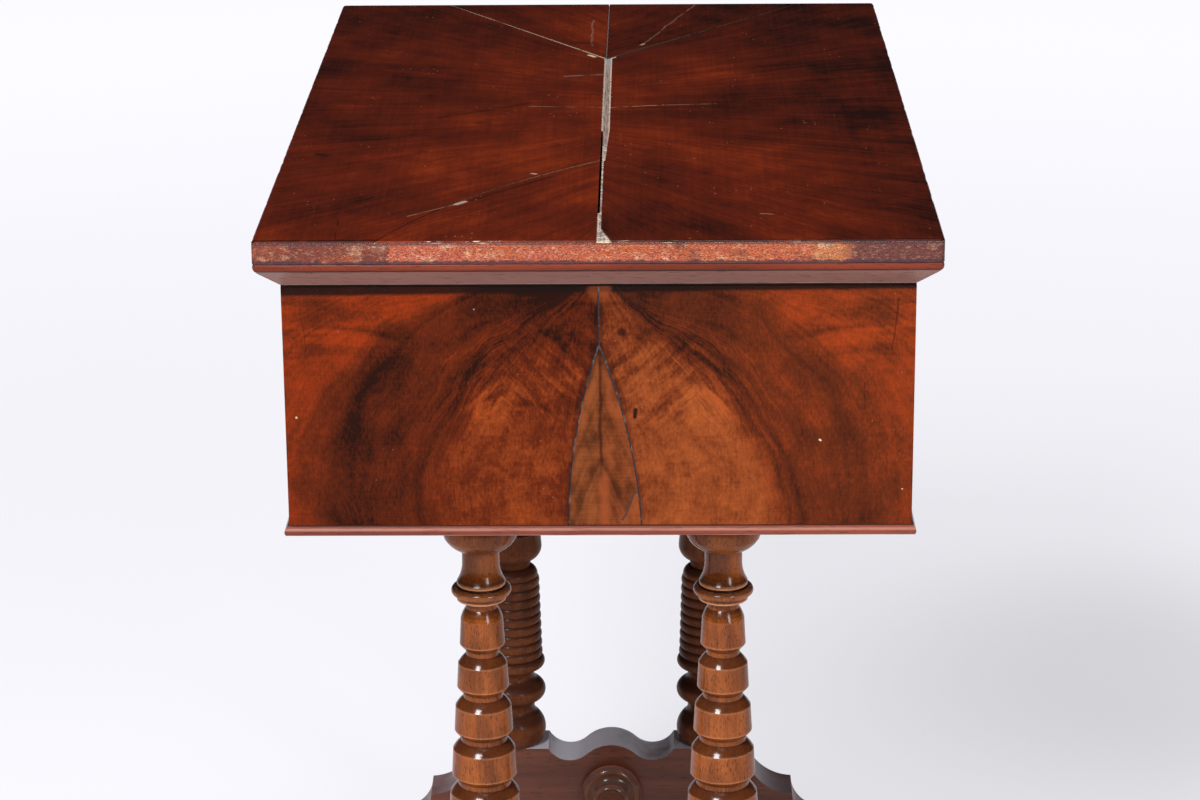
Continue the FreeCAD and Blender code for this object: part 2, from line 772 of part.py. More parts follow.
def knob(label, x, y, z):
    """Small turned knob: flange, hollowed stem and domed head on a round tenon."""
    profile = [
        ("0", "-knob_tenon_length"),
        ("knob_tenon_radius", "0"),
        ("knob_tenon_radius", "knob_tenon_length"),
        ("knob_flange_radius", "0"),
        ("knob_flange_radius", "knob_flange_length", hollow("knob_stem_hollow")),
        ("knob_stem_radius", "knob_stem_length", bead("knob_stem_hollow")),
        ("knob_rim_radius", "knob_head_length / 4", bead("knob_head_bulge")),
        ("knob_rim_radius", "knob_head_length * 3 / 4", bead("knob_crown_bulge")),
        ("knob_tip_radius", "knob_crown"),
        ("0", "0"),
    ]
    body = turned(label, profile)
    body.Placement.Rotation = FreeCAD.Rotation(UP, -BACKWARD)
    return keep(place(body, x, y, z))


def drawer_guides():
    """Runners under the drawer sides and stops behind the drawer front."""
    seat = f"({minus(CASE_Y)} + drawer_front_thickness + slide_clearance)"
    stops = []
    for side, sign in SIDES:
        runner = on_side(sign, f"{INNER_X} - runner_width", INNER_X)
        height = (CASE_FLOOR, f"{CASE_FLOOR} + runner_height")
        keep(box(f"drawer_runner_{side}", runner, (seat, INNER_Y), height))
        middle = f"{sign} * stop_spread / 2"
        limits = (f"{middle} - stop_width / 2", f"{middle} + stop_width / 2")
        height = (CASE_FLOOR, f"{CASE_FLOOR} + stop_height")
        stops.append(box(f"drawer_stop_{side}", limits, (seat, f"{seat} + stop_length"), height))
    keep(group("drawer_stops", stops))


# Trestle ends: bearer, two turned columns and a shaped foot board each, joined by a stretcher
def bearers():
    screws = []
    for side, sign in SIDES:
        middle = f"{sign} * {COLUMN_X}"
        along = (f"{middle} - bearer_width / 2", f"{middle} + bearer_width / 2")
        across = ("-bearer_length / 2", "bearer_length / 2")
        blank = box(f"bearer_{side}_blank", along, across, (BEARER_BOTTOM, CASE_BOTTOM))
        tools = tenon_sockets(f"bearer_{side}", middle, BEARER_BOTTOM, "head_tenon_length", UP)
        for number, step in enumerate((-1, 1)):
            for row, row_sign in (("front", -1), ("back", 1)):
                offset = f"{row_sign} * ({COLUMN_Y} + {step} * bearer_screw_offset)"
                spot = (middle, offset, CASE_FLOOR)
                heads = ("bearer_screw_radius", "bearer_screw_head", "bearer_screw_head_height")
                name = f"bearer_screw_{side}_{row}{number}"
                tools.append(screw(name, *heads, "bearer_screw_length", DOWN, *spot))
                screws.append(tools[-1])
        keep(cut(f"bearer_{side}", blank, tools))
    keep(group("bearer_screws", screws))


def tenon_sockets(label, x, level, length, direction):
    size = ("tenon_radius + tenon_gap", f"{length} + tenon_gap", direction)
    rows = (("front", minus(COLUMN_Y)), ("back", COLUMN_Y))
    return [rod(f"{label}_socket_{row}", *size, x, y, level) for row, y in rows]


def column_profile():
    """Base bulb, coves and rings, a ribbed drum, five growing bobbins, a collar and a bun."""
    fixed = (
        "base_height + low_cove_height + ring_height + high_cove_height + wide_ring_height"
        f" + {RIB_COUNT} * rib_pitch + drum_shoulder_height + waist_height"
        " + collar_cove_height + collar_fillet_height + collar_height + quirk_height"
        " + bell_rim_height + flare_height + neck_height + bun_bowl_height + bun_side_height"
    )
    bobbin_height = f"(({COLUMN_HEIGHT} - ({fixed})) / {BOBBIN_COUNT})"
    profile = [
        ("0", "-foot_tenon_length"),
        ("tenon_radius", "0"),
        ("tenon_radius", "foot_tenon_length"),
        ("base_radius", "0", bead("base_bulge")),
        ("ring_seat_radius", "base_height", hollow("low_cove_depth")),
        ("ring_seat_radius", "low_cove_height", bead("ring_bulge")),
        ("ring_seat_radius", "ring_height", hollow("high_cove_depth")),
        ("wide_ring_radius", "high_cove_height", bead("wide_ring_bulge")),
        ("wide_ring_radius", "wide_ring_height", bead("rib_depth")),
    ]
    for rib in range(1, RIB_COUNT):
        profile.append((f"wide_ring_radius - {rib} * rib_taper", "rib_pitch", bead("rib_depth")))
    drum_top = f"wide_ring_radius - {RIB_COUNT} * rib_taper"
    profile += [
        (drum_top, "rib_pitch", bead("drum_shoulder_bulge")),
        ("waist_radius", "drum_shoulder_height", hollow("waist_depth")),
        ("cup_seat_radius", "waist_height", bead("cup_round_bulge")),
    ]
    for bobbin in reversed(range(BOBBIN_COUNT)):
        profile += bobbin_profile(bobbin, bobbin_height)
    profile += [
        ("collar_cove_radius", "collar_cove_height"),
        ("collar_seat_radius", "0"),
        ("collar_seat_radius", "collar_fillet_height"),
        ("collar_radius", "0", bead("collar_bulge")),
        ("collar_radius", "collar_height"),
        ("quirk_radius", "0"),
        ("quirk_radius", "quirk_height"),
        ("bell_radius", "0"),
        ("bell_radius", "bell_rim_height", hollow("flare_depth")),
        ("neck_radius", "flare_height"),
        ("neck_radius", "neck_height"),
        ("bun_seat_radius", "0", bead("bun_bowl_bulge")),
        ("bun_rim_radius", "bun_bowl_height", bead("bun_side_bulge")),
        ("bun_head_radius", "bun_side_height"),
        ("tenon_radius", "0"),
        ("tenon_radius", "head_tenon_length"),
        ("0", "0"),
    ]
    return profile


def bobbin_profile(number, mean_height):
    """Rounded foot, tapering band with a crisp arris, domed shoulder and the groove above; 0 is the top one."""
    lowest = number == BOBBIN_COUNT - 1
    radius = f"(bobbin_radius + {number} * bobbin_growth)"
    height = f"({mean_height} + {number - BOBBIN_COUNT // 2} * bobbin_stretch)"
    foot = "cup_round_height" if lowest else "bobbin_round_height"
    arris = f"{radius} - bobbin_taper"
    if number == 0:
        band = f"{height} - {foot} - top_shoulder_height"
        return [
            (radius, foot),
            (arris, band, bead("bobbin_shoulder_bulge")),
            ("collar_neck_radius", "top_shoulder_height", hollow("collar_cove_depth")),
        ]
    groove = f"{arris} - groove_depth"
    band = f"{height} - {foot} - bobbin_shoulder_height - groove_height"
    return [
        (radius, foot),
        (arris, band, bead("bobbin_shoulder_bulge")),
        (groove, "bobbin_shoulder_height"),
        (groove, "groove_height", bead("bobbin_round_bulge")),
    ]


def columns():
    right_front = turned("column_right_front", column_profile())
    keep(place(right_front, COLUMN_X, minus(COLUMN_Y), "foot_height"))
    right_back = keep(mirrored("column_right_back", right_front, BACKWARD))
    keep(mirrored("column_left_front", right_front, RIGHT))
    keep(mirrored("column_left_back", right_back, RIGHT))


def foot_outline():
    """Two cavettos step down from the column's shoulder to a rounded toe, with a hump between."""
    toe_top = "(foot_height - upper_cavetto_height - lower_cavetto_height)"
    upper_end = "(shoulder_end + upper_cavetto_width)"
    lower_end = f"({upper_end} + lower_cavetto_width)"
    toe = f"({lower_end} + toe_ledge)"
    pad_end = f"({toe} - toe_undercut - foot_pad_length)"
    rising = [
        (f"{toe} - toe_undercut", "0", bead("toe_bulge")),
        (toe, toe_top, None),
        (lower_end, toe_top, hollow("lower_cavetto_depth")),
        (upper_end, "foot_height - upper_cavetto_height", hollow("upper_cavetto_depth")),
        ("shoulder_end", "foot_height", None),
        ("shoulder_start", "foot_height", hollow("dip_depth")),
        ("hump_half_width", "foot_height - hump_drop", bead("hump_rise")),
    ]
    arcs = [corner[2] for corner in rising]
    falling = [
        (minus(across), up, arc)
        for (across, up, _), arc in zip(reversed(rising), list(reversed(arcs[:-1])) + [None])
    ]
    arch = f"({pad_end} - foot_arch_height)"
    under = [
        (minus(pad_end), "0", hollow("foot_arch_round")),
        (minus(arch), "foot_arch_height", None),
        (arch, "foot_arch_height", hollow("foot_arch_round")),
        (pad_end, "0", None),
    ]
    return rising + falling + under


def foot_boards():
    blank = padded("foot_board_blank", "YZ_Plane", foot_outline(), "foot_thickness")
    place(blank, COLUMN_X)
    tools = tenon_sockets("foot_board", COLUMN_X, "foot_height", "foot_tenon_length", DOWN)
    inner_face = f"{COLUMN_X} - foot_thickness / 2"
    bore = ("tenon_radius + tenon_gap", "stretcher_tenon_length + tenon_gap", RIGHT)
    tools.append(rod("stretcher_socket", *bore, inner_face, "0", "stretcher_height"))
    board = keep(cut("foot_board_right", blank, tools))
    keep(mirrored("foot_board_left", board, RIGHT))


def stretcher():
    """Collar, cove and bead at each end, long tapering vases and a ribbed drum in the middle."""
    half = f"({COLUMN_X} - foot_thickness / 2)"
    drum = f"{STRETCHER_RIB_COUNT} * rib_pitch"
    used = (
        "stretcher_collar_length + stretcher_cove_length + stretcher_bead_length"
        f" + stretcher_fillet_length + ({drum}) / 2"
    )
    vase = f"{half} - ({used})"
    rising = [
        ("stretcher_collar_radius", "0", bead("stretcher_collar_bulge")),
        ("stretcher_collar_radius", "stretcher_collar_length", hollow("stretcher_cove_depth")),
        ("stretcher_neck_radius", "stretcher_cove_length", bead("stretcher_bead_bulge")),
        ("stretcher_neck_radius", "stretcher_bead_length", bead("stretcher_vase_bulge")),
        ("stretcher_vase_radius", vase, None),
        ("stretcher_vase_radius", "stretcher_fillet_length", None),
    ]
    ribs = [("stretcher_drum_radius", "0", bead("rib_depth"))]
    ribs += [("stretcher_drum_radius", "rib_pitch", bead("rib_depth"))] * (STRETCHER_RIB_COUNT - 1)
    ribs += [("stretcher_drum_radius", "rib_pitch", None)]
    steps = [corner[1] for corner in rising]
    arcs = [corner[2] for corner in rising]
    back_steps = ["0"] + steps[:0:-1]
    back_arcs = arcs[-2::-1] + [None]
    radii = [corner[0] for corner in reversed(rising)]
    falling = list(zip(radii, back_steps, back_arcs))
    profile = [
        ("0", "-stretcher_tenon_length"),
        ("tenon_radius", "0"),
        ("tenon_radius", "stretcher_tenon_length"),
        *rising,
        *ribs,
        *falling,
        ("tenon_radius", "0"),
        ("tenon_radius", "stretcher_tenon_length"),
        ("0", "0"),
    ]
    body = turned("stretcher", profile)
    body.Placement.Rotation = FreeCAD.Rotation(UP, RIGHT)
    keep(place(body, minus(half), "0", "stretcher_height"))


def write_pieces():
    doc.recompute()
    for thing in doc.Objects:
        if {"Invalid", "Error"} & set(thing.State):
            raise RuntimeError(f"{thing.Label} failed to build: {thing.State}")
    for piece in pieces:
        if piece.Shape.isNull() or not piece.Shape.isValid() or not piece.Shape.Solids:
            raise RuntimeError(f"{piece.Label} has no valid solid")
    os.makedirs("parts", exist_ok=True)
    for piece in pieces:
        piece.Shape.exportStep(f"parts/{piece.Label}.step")


hinges()
lid_boards()
lid_veneers()
lid_mouldings()
bearers()
well()
case_walls()
case_bottom()
bottom_beads()
end_veneers()
drawer()
drawer_guides()
columns()
foot_boards()
stretcher()
write_pieces()
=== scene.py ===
import math

import bmesh
import bpy
from bpy.props import FloatProperty, FloatVectorProperty, IntProperty, PointerProperty
from bpy.types import Operator, Panel, PropertyGroup
from mathutils import Matrix, Vector, noise


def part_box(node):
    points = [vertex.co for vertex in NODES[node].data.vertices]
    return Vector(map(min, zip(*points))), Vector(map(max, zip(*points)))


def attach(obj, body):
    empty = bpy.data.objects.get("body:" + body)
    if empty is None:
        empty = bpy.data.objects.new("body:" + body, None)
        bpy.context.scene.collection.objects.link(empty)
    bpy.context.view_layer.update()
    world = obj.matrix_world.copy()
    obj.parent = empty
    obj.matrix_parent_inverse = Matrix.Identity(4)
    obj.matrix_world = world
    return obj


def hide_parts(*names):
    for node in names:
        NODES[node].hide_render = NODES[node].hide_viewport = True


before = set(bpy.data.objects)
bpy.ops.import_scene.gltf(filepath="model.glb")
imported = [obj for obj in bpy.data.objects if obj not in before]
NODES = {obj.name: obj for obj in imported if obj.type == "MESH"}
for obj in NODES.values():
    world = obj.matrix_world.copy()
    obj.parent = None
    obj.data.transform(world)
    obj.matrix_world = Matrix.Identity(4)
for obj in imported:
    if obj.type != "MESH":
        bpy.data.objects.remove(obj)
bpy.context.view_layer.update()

bl_info = {
    "name": "Work table",
    "version": (1, 0, 0),
    "blender": (4, 5, 0),
    "location": "3D View > Sidebar > Work table",
    "description": "Finishes an old veneered work table on turned trestle ends",
    "category": "Object",
}

PIECES = dict(NODES)
LID_LOW, LID_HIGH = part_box("lid_board_front")
LID_END = LID_HIGH.x
LID_SIDE = -LID_LOW.y
EDGE_BOTTOM = LID_LOW.z
MOULDING_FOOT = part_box("lid_moulding_right")[0].z
VENEER_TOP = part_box("end_veneer_right_front")[1].z
CASE_LOW, CASE_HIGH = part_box("case_end_right")
FIGURE_FLOOR = CASE_LOW.z + 0.005
BEAD_LOW, BEAD_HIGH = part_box("bottom_bead_right")

MERGE = 1e-6  # points closer than this are one
FLAT_TURN = math.radians(0.4)  # triangles that turn less than this are one face
CRISP_TURN = math.radians(40)  # arrises that turn more than this stay crisp
SCREW_TURN = math.radians(30)
FLAT_AREA, SQUARE = 0.0001, 0.9999  # square faces from this area up are shaded flat
DEEPEST = 0.9  # share of the lid's corner radius that a chip may take
BROKEN_PITCH, RAGGED_PITCH = 60, 240  # chips and their ragged edges, by the metre
CORE_CHIPS, CORE_DROP, CORE_RUBBED = 0.4, 0.6, 0.001  # the same wear on the lid's core boards
FOOT_SOFTER = 1.8  # rounding of the foot boards against that of other boards
HANDLED_LOW, HANDLED_HIGH = -0.16, 0.05  # most broken stretch of the photographed arris, along Y
HALF_JOINT = 0.0001  # half the width in which the two sides of a joint change over
OUTER_EDGE = 0.004  # width of the lid's rim
FIGURE_REACH = 0.25  # reach at which the levels of the case's figure end


def tone(red, green, blue):
    """Colour given as it looks on screen, from 0 to 255, turned into the light it stands for."""
    shares = (channel / 255 for channel in (red, green, blue))
    return tuple(s / 12.92 if s <= 0.04045 else ((s + 0.055) / 1.055) ** 2.4 for s in shares)


def lit(colour, share):
    """Colour made darker, or lighter where the share is over 1."""
    return tuple(min(1, channel * share) for channel in colour)


PORE_DIRT = tone(40, 20, 16)
BEAD_DIRT = tone(40, 24, 22)
# dirt and painted shade in the quirks of the lid's moulding
QUIRK_DIRT_AND_SHADE = tone(48, 30, 30)
RUBBED_FOOT = tone(196, 150, 130)
JOINT_DIRT = tone(40, 26, 22)
JOINT_GREYS = tone(92, 79, 74), tone(143, 125, 115)
FAR_GREY = tone(132, 126, 125)
CHALK = tone(204, 190, 176)
OLD_OIL = tone(36, 28, 20)
LEFT_TINT, RIGHT_TINT = (1.0, 0.82, 0.66), (1.0, 1.0, 1.0)


def shade(name, description, red, green, blue):
    return FloatVectorProperty(
        name=name, description=description, subtype="COLOR", min=0, max=1, default=tone(red, green, blue)
    )


def length(name, description, default, least=0.0):
    return FloatProperty(name=name, description=description, default=default, min=least, unit="LENGTH")


def share(name, description, default):
    return FloatProperty(name=name, description=description, default=default, min=0, max=1, subtype="FACTOR")


class LidFinish(PropertyGroup):
    dark: shade("Dark figure", "Darkest streaks of the lid's veneer", 28, 8, 5)
    middle: shade("Ground", "Main colour of the lid's veneer", 80, 24, 8)
    light: shade("Light figure", "Warm streaks of the lid's veneer", 132, 47, 12)
    bare: shade("Bare board", "Dry core wood where the veneer has opened", 176, 158, 146)
    lip: shade("Broken lip", "Raw edge of the veneer along the splits", 205, 178, 150)
    fan_origin: length("Fan origin", "How far behind the middle joint the figure fans from", 0.14, 0.01)


class EdgeFinish(PropertyGroup):
    worn: shade("Worn edge", "Rubbed end grain of the lid's edge", 166, 82, 58)
    bright: shade("Bright patch", "Orange patches of the lid's edge", 170, 86, 50)
    yellow: shade("Yellow patch", "Sapwood in the lid's edge", 176, 112, 66)
    rusty: shade("Rusty patch", "Red-brown stretch at the drawer side of the lid's edge", 108, 54, 40)
    dull: shade("Dull patch", "Purple-brown stretch at the hinge side of the lid's edge", 86, 50, 46)
    pore: shade("Pores", "Dirt in the open pores", 62, 36, 40)
    chip: shade("Chips", "Raw wood where the arris has broken", 214, 176, 142)
    # dark line along the top arris and dark band at the foot of the lid's edge: dirt with painted shade in
    # the crease above the moulding
    grime_and_shade: shade("Grime", "Dirt left above and below the edge moulding", 58, 40, 48)
    under: shade("Underside", "Plain boards under the lid", 118, 72, 46)


class CaseFinish(PropertyGroup):
    corner: shade("Plain corners", "Orange wood outside the arch of the figure", 136, 50, 16)
    band: shade("Arch bands", "Dark bands of the figure", 32, 12, 7)
    between: shade("Between bands", "Brown wood between the arches", 84, 33, 12)
    inner: shade("Inside the arch", "Golden wood inside the figure", 142, 70, 31)
    wedge: shade("Wedge", "Brown wood left of the wedge's middle", 120, 62, 30)
    wedge_red: shade("Red of the wedge", "Reddish wood right of the wedge's middle", 122, 60, 29)
    streak: shade("Streak", "Orange streak at the foot of the wedge", 138, 66, 32)
    crack: shade("Open joints", "Blue-grey dirt in the joints", 58, 46, 48)
    putty: shade("Old putty", "Grey filling left in the joints", 122, 102, 94)
    # painted shadow under the lid's overhang, mixed with dirt; the same colour also marks dark joints and a
    # spot on the end
    grime_and_shade: shade("Grime", "Dirt under the overhang of the lid", 22, 11, 8)
    chip: shade("Specks", "Small pale knocks in the polish", 214, 190, 160)


class TurningFinish(PropertyGroup):
    dark: shade("Dark grain", "Dark grain of the turned work", 86, 41, 15)
    light: shade("Light grain", "Light grain of the turned work", 150, 79, 31)
    # also laid over hollows found by occlusion: dirt with painted shade
    groove: shade("Grooves", "Old polish and dirt in the grooves", 30, 14, 10)
    # dark old polish with painted shade where the turnings face up
    polish: shade("Old polish", "Dark polish left where the turnings face up", 54, 27, 17)
    # painted shade on the far pair of columns
    shaded: shade("Shaded", "Dulled polish of the pair away from the light", 44, 26, 24)
    arris: shade("Rubbed arris", "Worn edges of the turned work", 214, 150, 104)


class PlainFinish(PropertyGroup):
    edge_bead: shade("Edge bead", "Red-brown bead under the lid's edge", 114, 48, 30)
    bevel: shade("Bevel", "Mauve-brown bevel under the lid", 142, 102, 92)
    bead: shade("Bead", "Bead round the case", 128, 58, 40)
    # painted highlight along the bead's nose; also a pale line along its foot
    rubbed: shade("Rubbed nose", "Pale line along the bead's nose", 206, 158, 142)
    foot: shade("Foot boards", "Dark faces of the foot boards", 102, 55, 39)
    # grey on the upward faces of the foot boards and the stretcher: dust with painted sheen
    dust_and_sheen: shade("Dust film", "Grey dust on the tops of the foot boards", 194, 192, 203)
    inner: shade("Inside wood", "Pale wood of the well and the drawer", 178, 140, 96)
    brass: shade("Brass", "Hinges", 190, 150, 84)
    steel: shade("Steel", "Screws", 120, 116, 110)


class WearSettings(PropertyGroup):
    corner: length("Corner radius", "Rounding of the lid's upright corners", 0.003)
    arris: length("Arris", "Rounding of the lid's top arris", 0.0005)
    chip: length("Chips", "Deepest chip in the lid's top arris", 0.0022)
    step: length("Step", "Spacing of the points that let the lid's rim wander", 0.004)
    soft: length("Soft edge", "Rounding of the arrises of plain boards", 0.0007)
    slot_width: share("Slot width", "Width of the screw slots against the head", 0.22)


class StageSettings(PropertyGroup):
    floor: shade("Floor", "Pale studio floor", 246, 245, 251)
    near_glow: share("Near glow", "Share of the floor's light near the table", 0.7)
    far_glow: share("Far glow", "Share of the floor's light far off", 0.98)
    dim: share("Dim side", "Light missing behind the table, at the hinge side", 0.22)
    floor_share: share("Floor share", "Share of the lamps' light it gives back", 0.33)
    radius: length("Floor radius", "Reach of the floor", 14.0)
    segments: IntProperty(name="Floor segments", description="Sides of the round floor", default=64, min=12)


SETTINGS = {
    "lid_finish": LidFinish,
    "edge_finish": EdgeFinish,
    "case_finish": CaseFinish,
    "turning_finish": TurningFinish,
    "plain_finish": PlainFinish,
    "wear_settings": WearSettings,
    "stage_settings": StageSettings,
}


def sum_of(operation, turned=False):
    """Sum of a value and another, the other first where turned."""
    def write(value, other):
        return value.tree.math(operation, *((other, value) if turned else (value, other)))
    return write


class Value:
    """Output of a node; the sums written with it become nodes of its tree."""
    __add__ = __radd__ = sum_of("ADD")
    __sub__, __rsub__ = sum_of("SUBTRACT"), sum_of("SUBTRACT", turned=True)
    __mul__ = __rmul__ = sum_of("MULTIPLY")
    __truediv__ = sum_of("DIVIDE")
    most = sum_of("MAXIMUM")

    def __init__(self, tree, socket):
        self.tree, self.socket = tree, socket

    def __abs__(self):
        return self.tree.math("ABSOLUTE", self)

    def fade(self, low, high):
        """Rises smoothly from 0 at low to 1 at high, or falls where low is the larger."""
        rising = low < high
        return self.tree.get("ShaderNodeMapRange", {
            "Value": self, "From Min": min(low, high), "From Max": max(low, high),
            "To Min": float(not rising), "To Max": float(rising),
        }, interpolation_type="SMOOTHSTEP")

    def near(self, place, low, high):
        """Fades by the distance from a place."""
        return abs(self - place).fade(low, high)

    def mix(self, amount, other):
        return self.tree.mix(amount, self, other)

    def over(self, *layers):
        """This colour with layers of (amount, colour) laid over it in turn."""
        colour = self
        for amount, other in layers:
            colour = colour.mix(amount, other)
        return colour

    def scaled(self, factor):
        return self.tree.get("ShaderNodeVectorMath", {0: self, "Scale": factor}, operation="SCALE")

    def split(self):
        node = self.tree.add("ShaderNodeSeparateXYZ", {"Vector": self})
        return [Value(self.tree, socket) for socket in node.outputs[:3]]

    def stretch(self, x, y, z):
        return self.tree.vector("MULTIPLY", self, (x, y, z))

    def noise(self, scale=1.0, detail=3.0, rough=0.5, twist=0.0):
        """Noise at this position, which three scales stretch first."""
        if isinstance(scale, tuple):
            return self.stretch(*scale).noise(1.0, detail, rough, twist)
        inputs = {"Vector": self, "Scale": scale, "Detail": detail, "Roughness": rough, "Distortion": twist}
        return self.tree.get("ShaderNodeTexNoise", inputs)

    def sway(self, scale, amount):
        """This position pushed about by slow noise."""
        push = self.tree.get("ShaderNodeTexNoise", {"Vector": self, "Scale": scale, "Detail": 2.0}, "Color")
        centred = self.tree.vector("SUBTRACT", push, (0.5, 0.5, 0.5))
        return self.tree.vector("ADD", self, centred.scaled(amount))

    def ramp(self, *stops):
        """Colours at their places, blended between."""
        node = self.tree.add("ShaderNodeValToRGB", {"Fac": self})
        marks = node.color_ramp.elements
        while len(marks) < len(stops):
            marks.new(0.5)
        for mark, (place, colour) in zip(marks, stops):
            mark.position = place
            mark.color = (*colour[:3], 1)
        return Value(self.tree, node.outputs[0])


class Nodes:
    """A node tree being filled, with short calls for the nodes that the finishes use most."""

    def __init__(self, tree):
        self.tree = tree

    def feed(self, socket, value):
        if isinstance(value, Value):
            self.tree.links.new(value.socket, socket)
        elif socket.type == "RGBA":
            socket.default_value = (*value[:3], 1)
        else:
            socket.default_value = value

    def add(self, kind, inputs=None, **choices):
        node = self.tree.nodes.new(kind)
        for name, choice in choices.items():
            setattr(node, name, choice)
        for name, value in (inputs or {}).items():
            self.feed(node.inputs[name], value)
        return node

    def get(self, kind, inputs=None, out=0, **choices):
        """One output of a new node."""
        return Value(self, self.add(kind, inputs, **choices).outputs[out])

    def math(self, operation, *values, clamp=False):
        return self.get("ShaderNodeMath", dict(enumerate(values)), operation=operation, use_clamp=clamp)

    def vector(self, operation, *values, out=0):
        return self.get("ShaderNodeVectorMath", dict(enumerate(values)), out, operation=operation)

    def mix(self, amount, first, second, mode="MIX"):
        inputs = {0: amount, 6: first, 7: second}
        return self.get("ShaderNodeMix", inputs, 2, data_type="RGBA", blend_type=mode)

    def join(self, x=0.0, y=0.0, z=0.0):
        return self.get("ShaderNodeCombineXYZ", {"X": x, "Y": y, "Z": z})


def effect(name, inputs, outputs):
    """Node group made of a filling function at its first use; inputs without a default are vectors."""
    def build(fill):
        group = bpy.data.node_groups.new(name, "ShaderNodeTree")
        for title, default in inputs.items():
            kind = "Vector" if default is None else "Float"
            socket = group.interface.new_socket(title, in_out="INPUT", socket_type=f"NodeSocket{kind}")
            if default is not None:
                socket.default_value = default
        for title in outputs:
            group.interface.new_socket(title, in_out="OUTPUT", socket_type="NodeSocketFloat")
        tree = Nodes(group)
        start = tree.add("NodeGroupInput")
        given = [Value(tree, start.outputs[title]) for title in inputs]
        tree.add("NodeGroupOutput", dict(zip(outputs, fill(tree, *given))))
        return group

    def shared(fill):
        def use(vector, **given):
            group = bpy.data.node_groups.get(name) or build(fill)
            node = vector.tree.add("ShaderNodeGroup", {"Vector": vector, **given}, node_tree=group)
            return {socket.name: Value(vector.tree, socket) for socket in node.outputs}
        return use
    return shared


@effect("Wood grain", {"Vector": None, "Streaks": 60.0, "Pores": 900.0}, ("Streaks", "Fibre", "Pores"))
def wood_grain(tree, vector, streaks, pores):
    """Grain of wood: the vector's X runs along the grain, in metres."""
    drift = vector.noise((5, 14, 14), detail=2)
    x, y, z = vector.split()
    swayed = tree.join(x, y + drift * 0.014, z + drift * 0.009)
    return (
        swayed.stretch(0.07, 1, 1).noise(streaks, detail=5, rough=0.6),
        swayed.noise((40, 1100, 1100), detail=2),
        swayed.stretch(0.12, 1, 1).noise(pores, detail=1).fade(0.58, 0.7),
    )


@effect("Edge wear", {"Vector": None, "Reach": 0.003, "Depth": 0.008}, ("Worn", "Arris", "Hollow"))
def edge_wear(tree, vector, reach, depth):
    """Worn convex edges, and hollows for dirt and painted shade, read from the shape itself."""
    own = {"only_local": True, "samples": 6}
    patchy = vector.noise(90)
    convex = tree.get("ShaderNodeAmbientOcclusion", {"Distance": reach}, "AO", inside=True, **own)
    hollow = tree.get("ShaderNodeAmbientOcclusion", {"Distance": depth}, "AO", **own)
    worn = convex.fade(0.75, 0.3) * patchy.fade(0.3, 0.6)
    return worn, convex.fade(0.94, 0.8), hollow.fade(0.95, 0.45)


@effect("Dust", {"Vector": None, "Amount": 0.5}, ("Smears", "Specks"))
def dust_marks(tree, vector, amount):
    """Handling marks: cloudy smears and small pale specks."""
    smears = vector.noise((14, 9, 14), detail=4, rough=0.65)
    dots = tree.get("ShaderNodeTexVoronoi", {"Vector": vector, "Scale": 160}, "Distance")
    thin = vector.noise(34, detail=1).fade(0.56, 0.7)
    return smears, dots.fade(0.11, 0.05) * thin * amount


@effect("Drawn line", {"Vector": None, "From": None, "To": None, "Width": 0.001, "Waver": 0.002}, ("Mask",))
def drawn_line(tree, vector, start, end, width, waver):
    """One line between two points of a face, with a wavering course."""
    away = tree.vector("SUBTRACT", vector.sway(55.0, waver), start)
    along = tree.vector("SUBTRACT", end, start)
    run, whole = (tree.vector("DOT_PRODUCT", other, along, out="Value") for other in (away, along))
    foot = along.scaled(tree.math("DIVIDE", run, whole, clamp=True))
    gap = tree.vector("DISTANCE", away, foot, out="Value")
    return ((gap / width).fade(1.0, 0.35),)


@effect("Figure lines", {"Vector": None, "Height": 0.17}, ("Reach", "Lines", "Threads"))
def crotch_figure(tree, vector, height):
    """Figure whose lines rise from the sides of a leaf and draw together at the top of the joint."""
    across, up, leaf = vector.sway(9.0, 0.038).sway(60.0, 0.006).split()
    rise = up / height
    room = (1 - rise * rise).most(0.06)
    aside = abs(across)
    wide = aside / tree.math("SQRT", room)
    lean = 0.5 + wide.fade(0.165, 0.06) * 0.5
    reach = aside / tree.math("POWER", room, lean)
    lines = tree.join(reach * 110, up * 22, leaf).noise(detail=6, rough=0.62)
    threads = tree.join(reach * 620, up * 30, leaf).noise()
    return reach, lines, threads


def finish(name, paint, coat=0.0, coat_rough=0.1, specular=0.35, metal=0.0):
    """Material whose colour, roughness and relief come from paint(tree, position, facing)."""
    material = bpy.data.materials.new(name)
    material.use_nodes = True
    tree = Nodes(material.node_tree)
    tree.tree.nodes.clear()
    position = tree.get("ShaderNodeTexCoord", out="Object")
    normal = tree.get("ShaderNodeNewGeometry", out="True Normal")
    turned = {"vector_type": "NORMAL", "convert_from": "WORLD", "convert_to": "OBJECT"}
    facing = tree.get("ShaderNodeVectorTransform", {"Vector": normal}, **turned)
    colour, roughness, height, depth = paint(tree, position, facing)
    relief = tree.get("ShaderNodeBump", {"Strength": 1.0, "Distance": depth, "Height": height})
    shader = tree.get("ShaderNodeBsdfPrincipled", {
        "Base Color": colour, "Roughness": roughness, "Normal": relief, "Metallic": metal,
        "Specular IOR Level": specular, "Coat Weight": coat, "Coat Roughness": coat_rough,
    })
    tree.add("ShaderNodeOutputMaterial", {"Surface": shader})
    return material


def along_grain(position, axis):
    """The position with the grain's own direction as its X."""
    x, y, z = position.split()
    return position.tree.join(*{"x": (x, y, z), "y": (y, x, z), "z": (z, x, y)}[axis])


def streaked(grain, base, dark=0.5):
    """A wood's colour between its dark and its full streaks."""
    streaks = grain["Streaks"]
    return streaks.tree.mix(streaks.fade(0.3, 0.7), lit(base, dark), base)


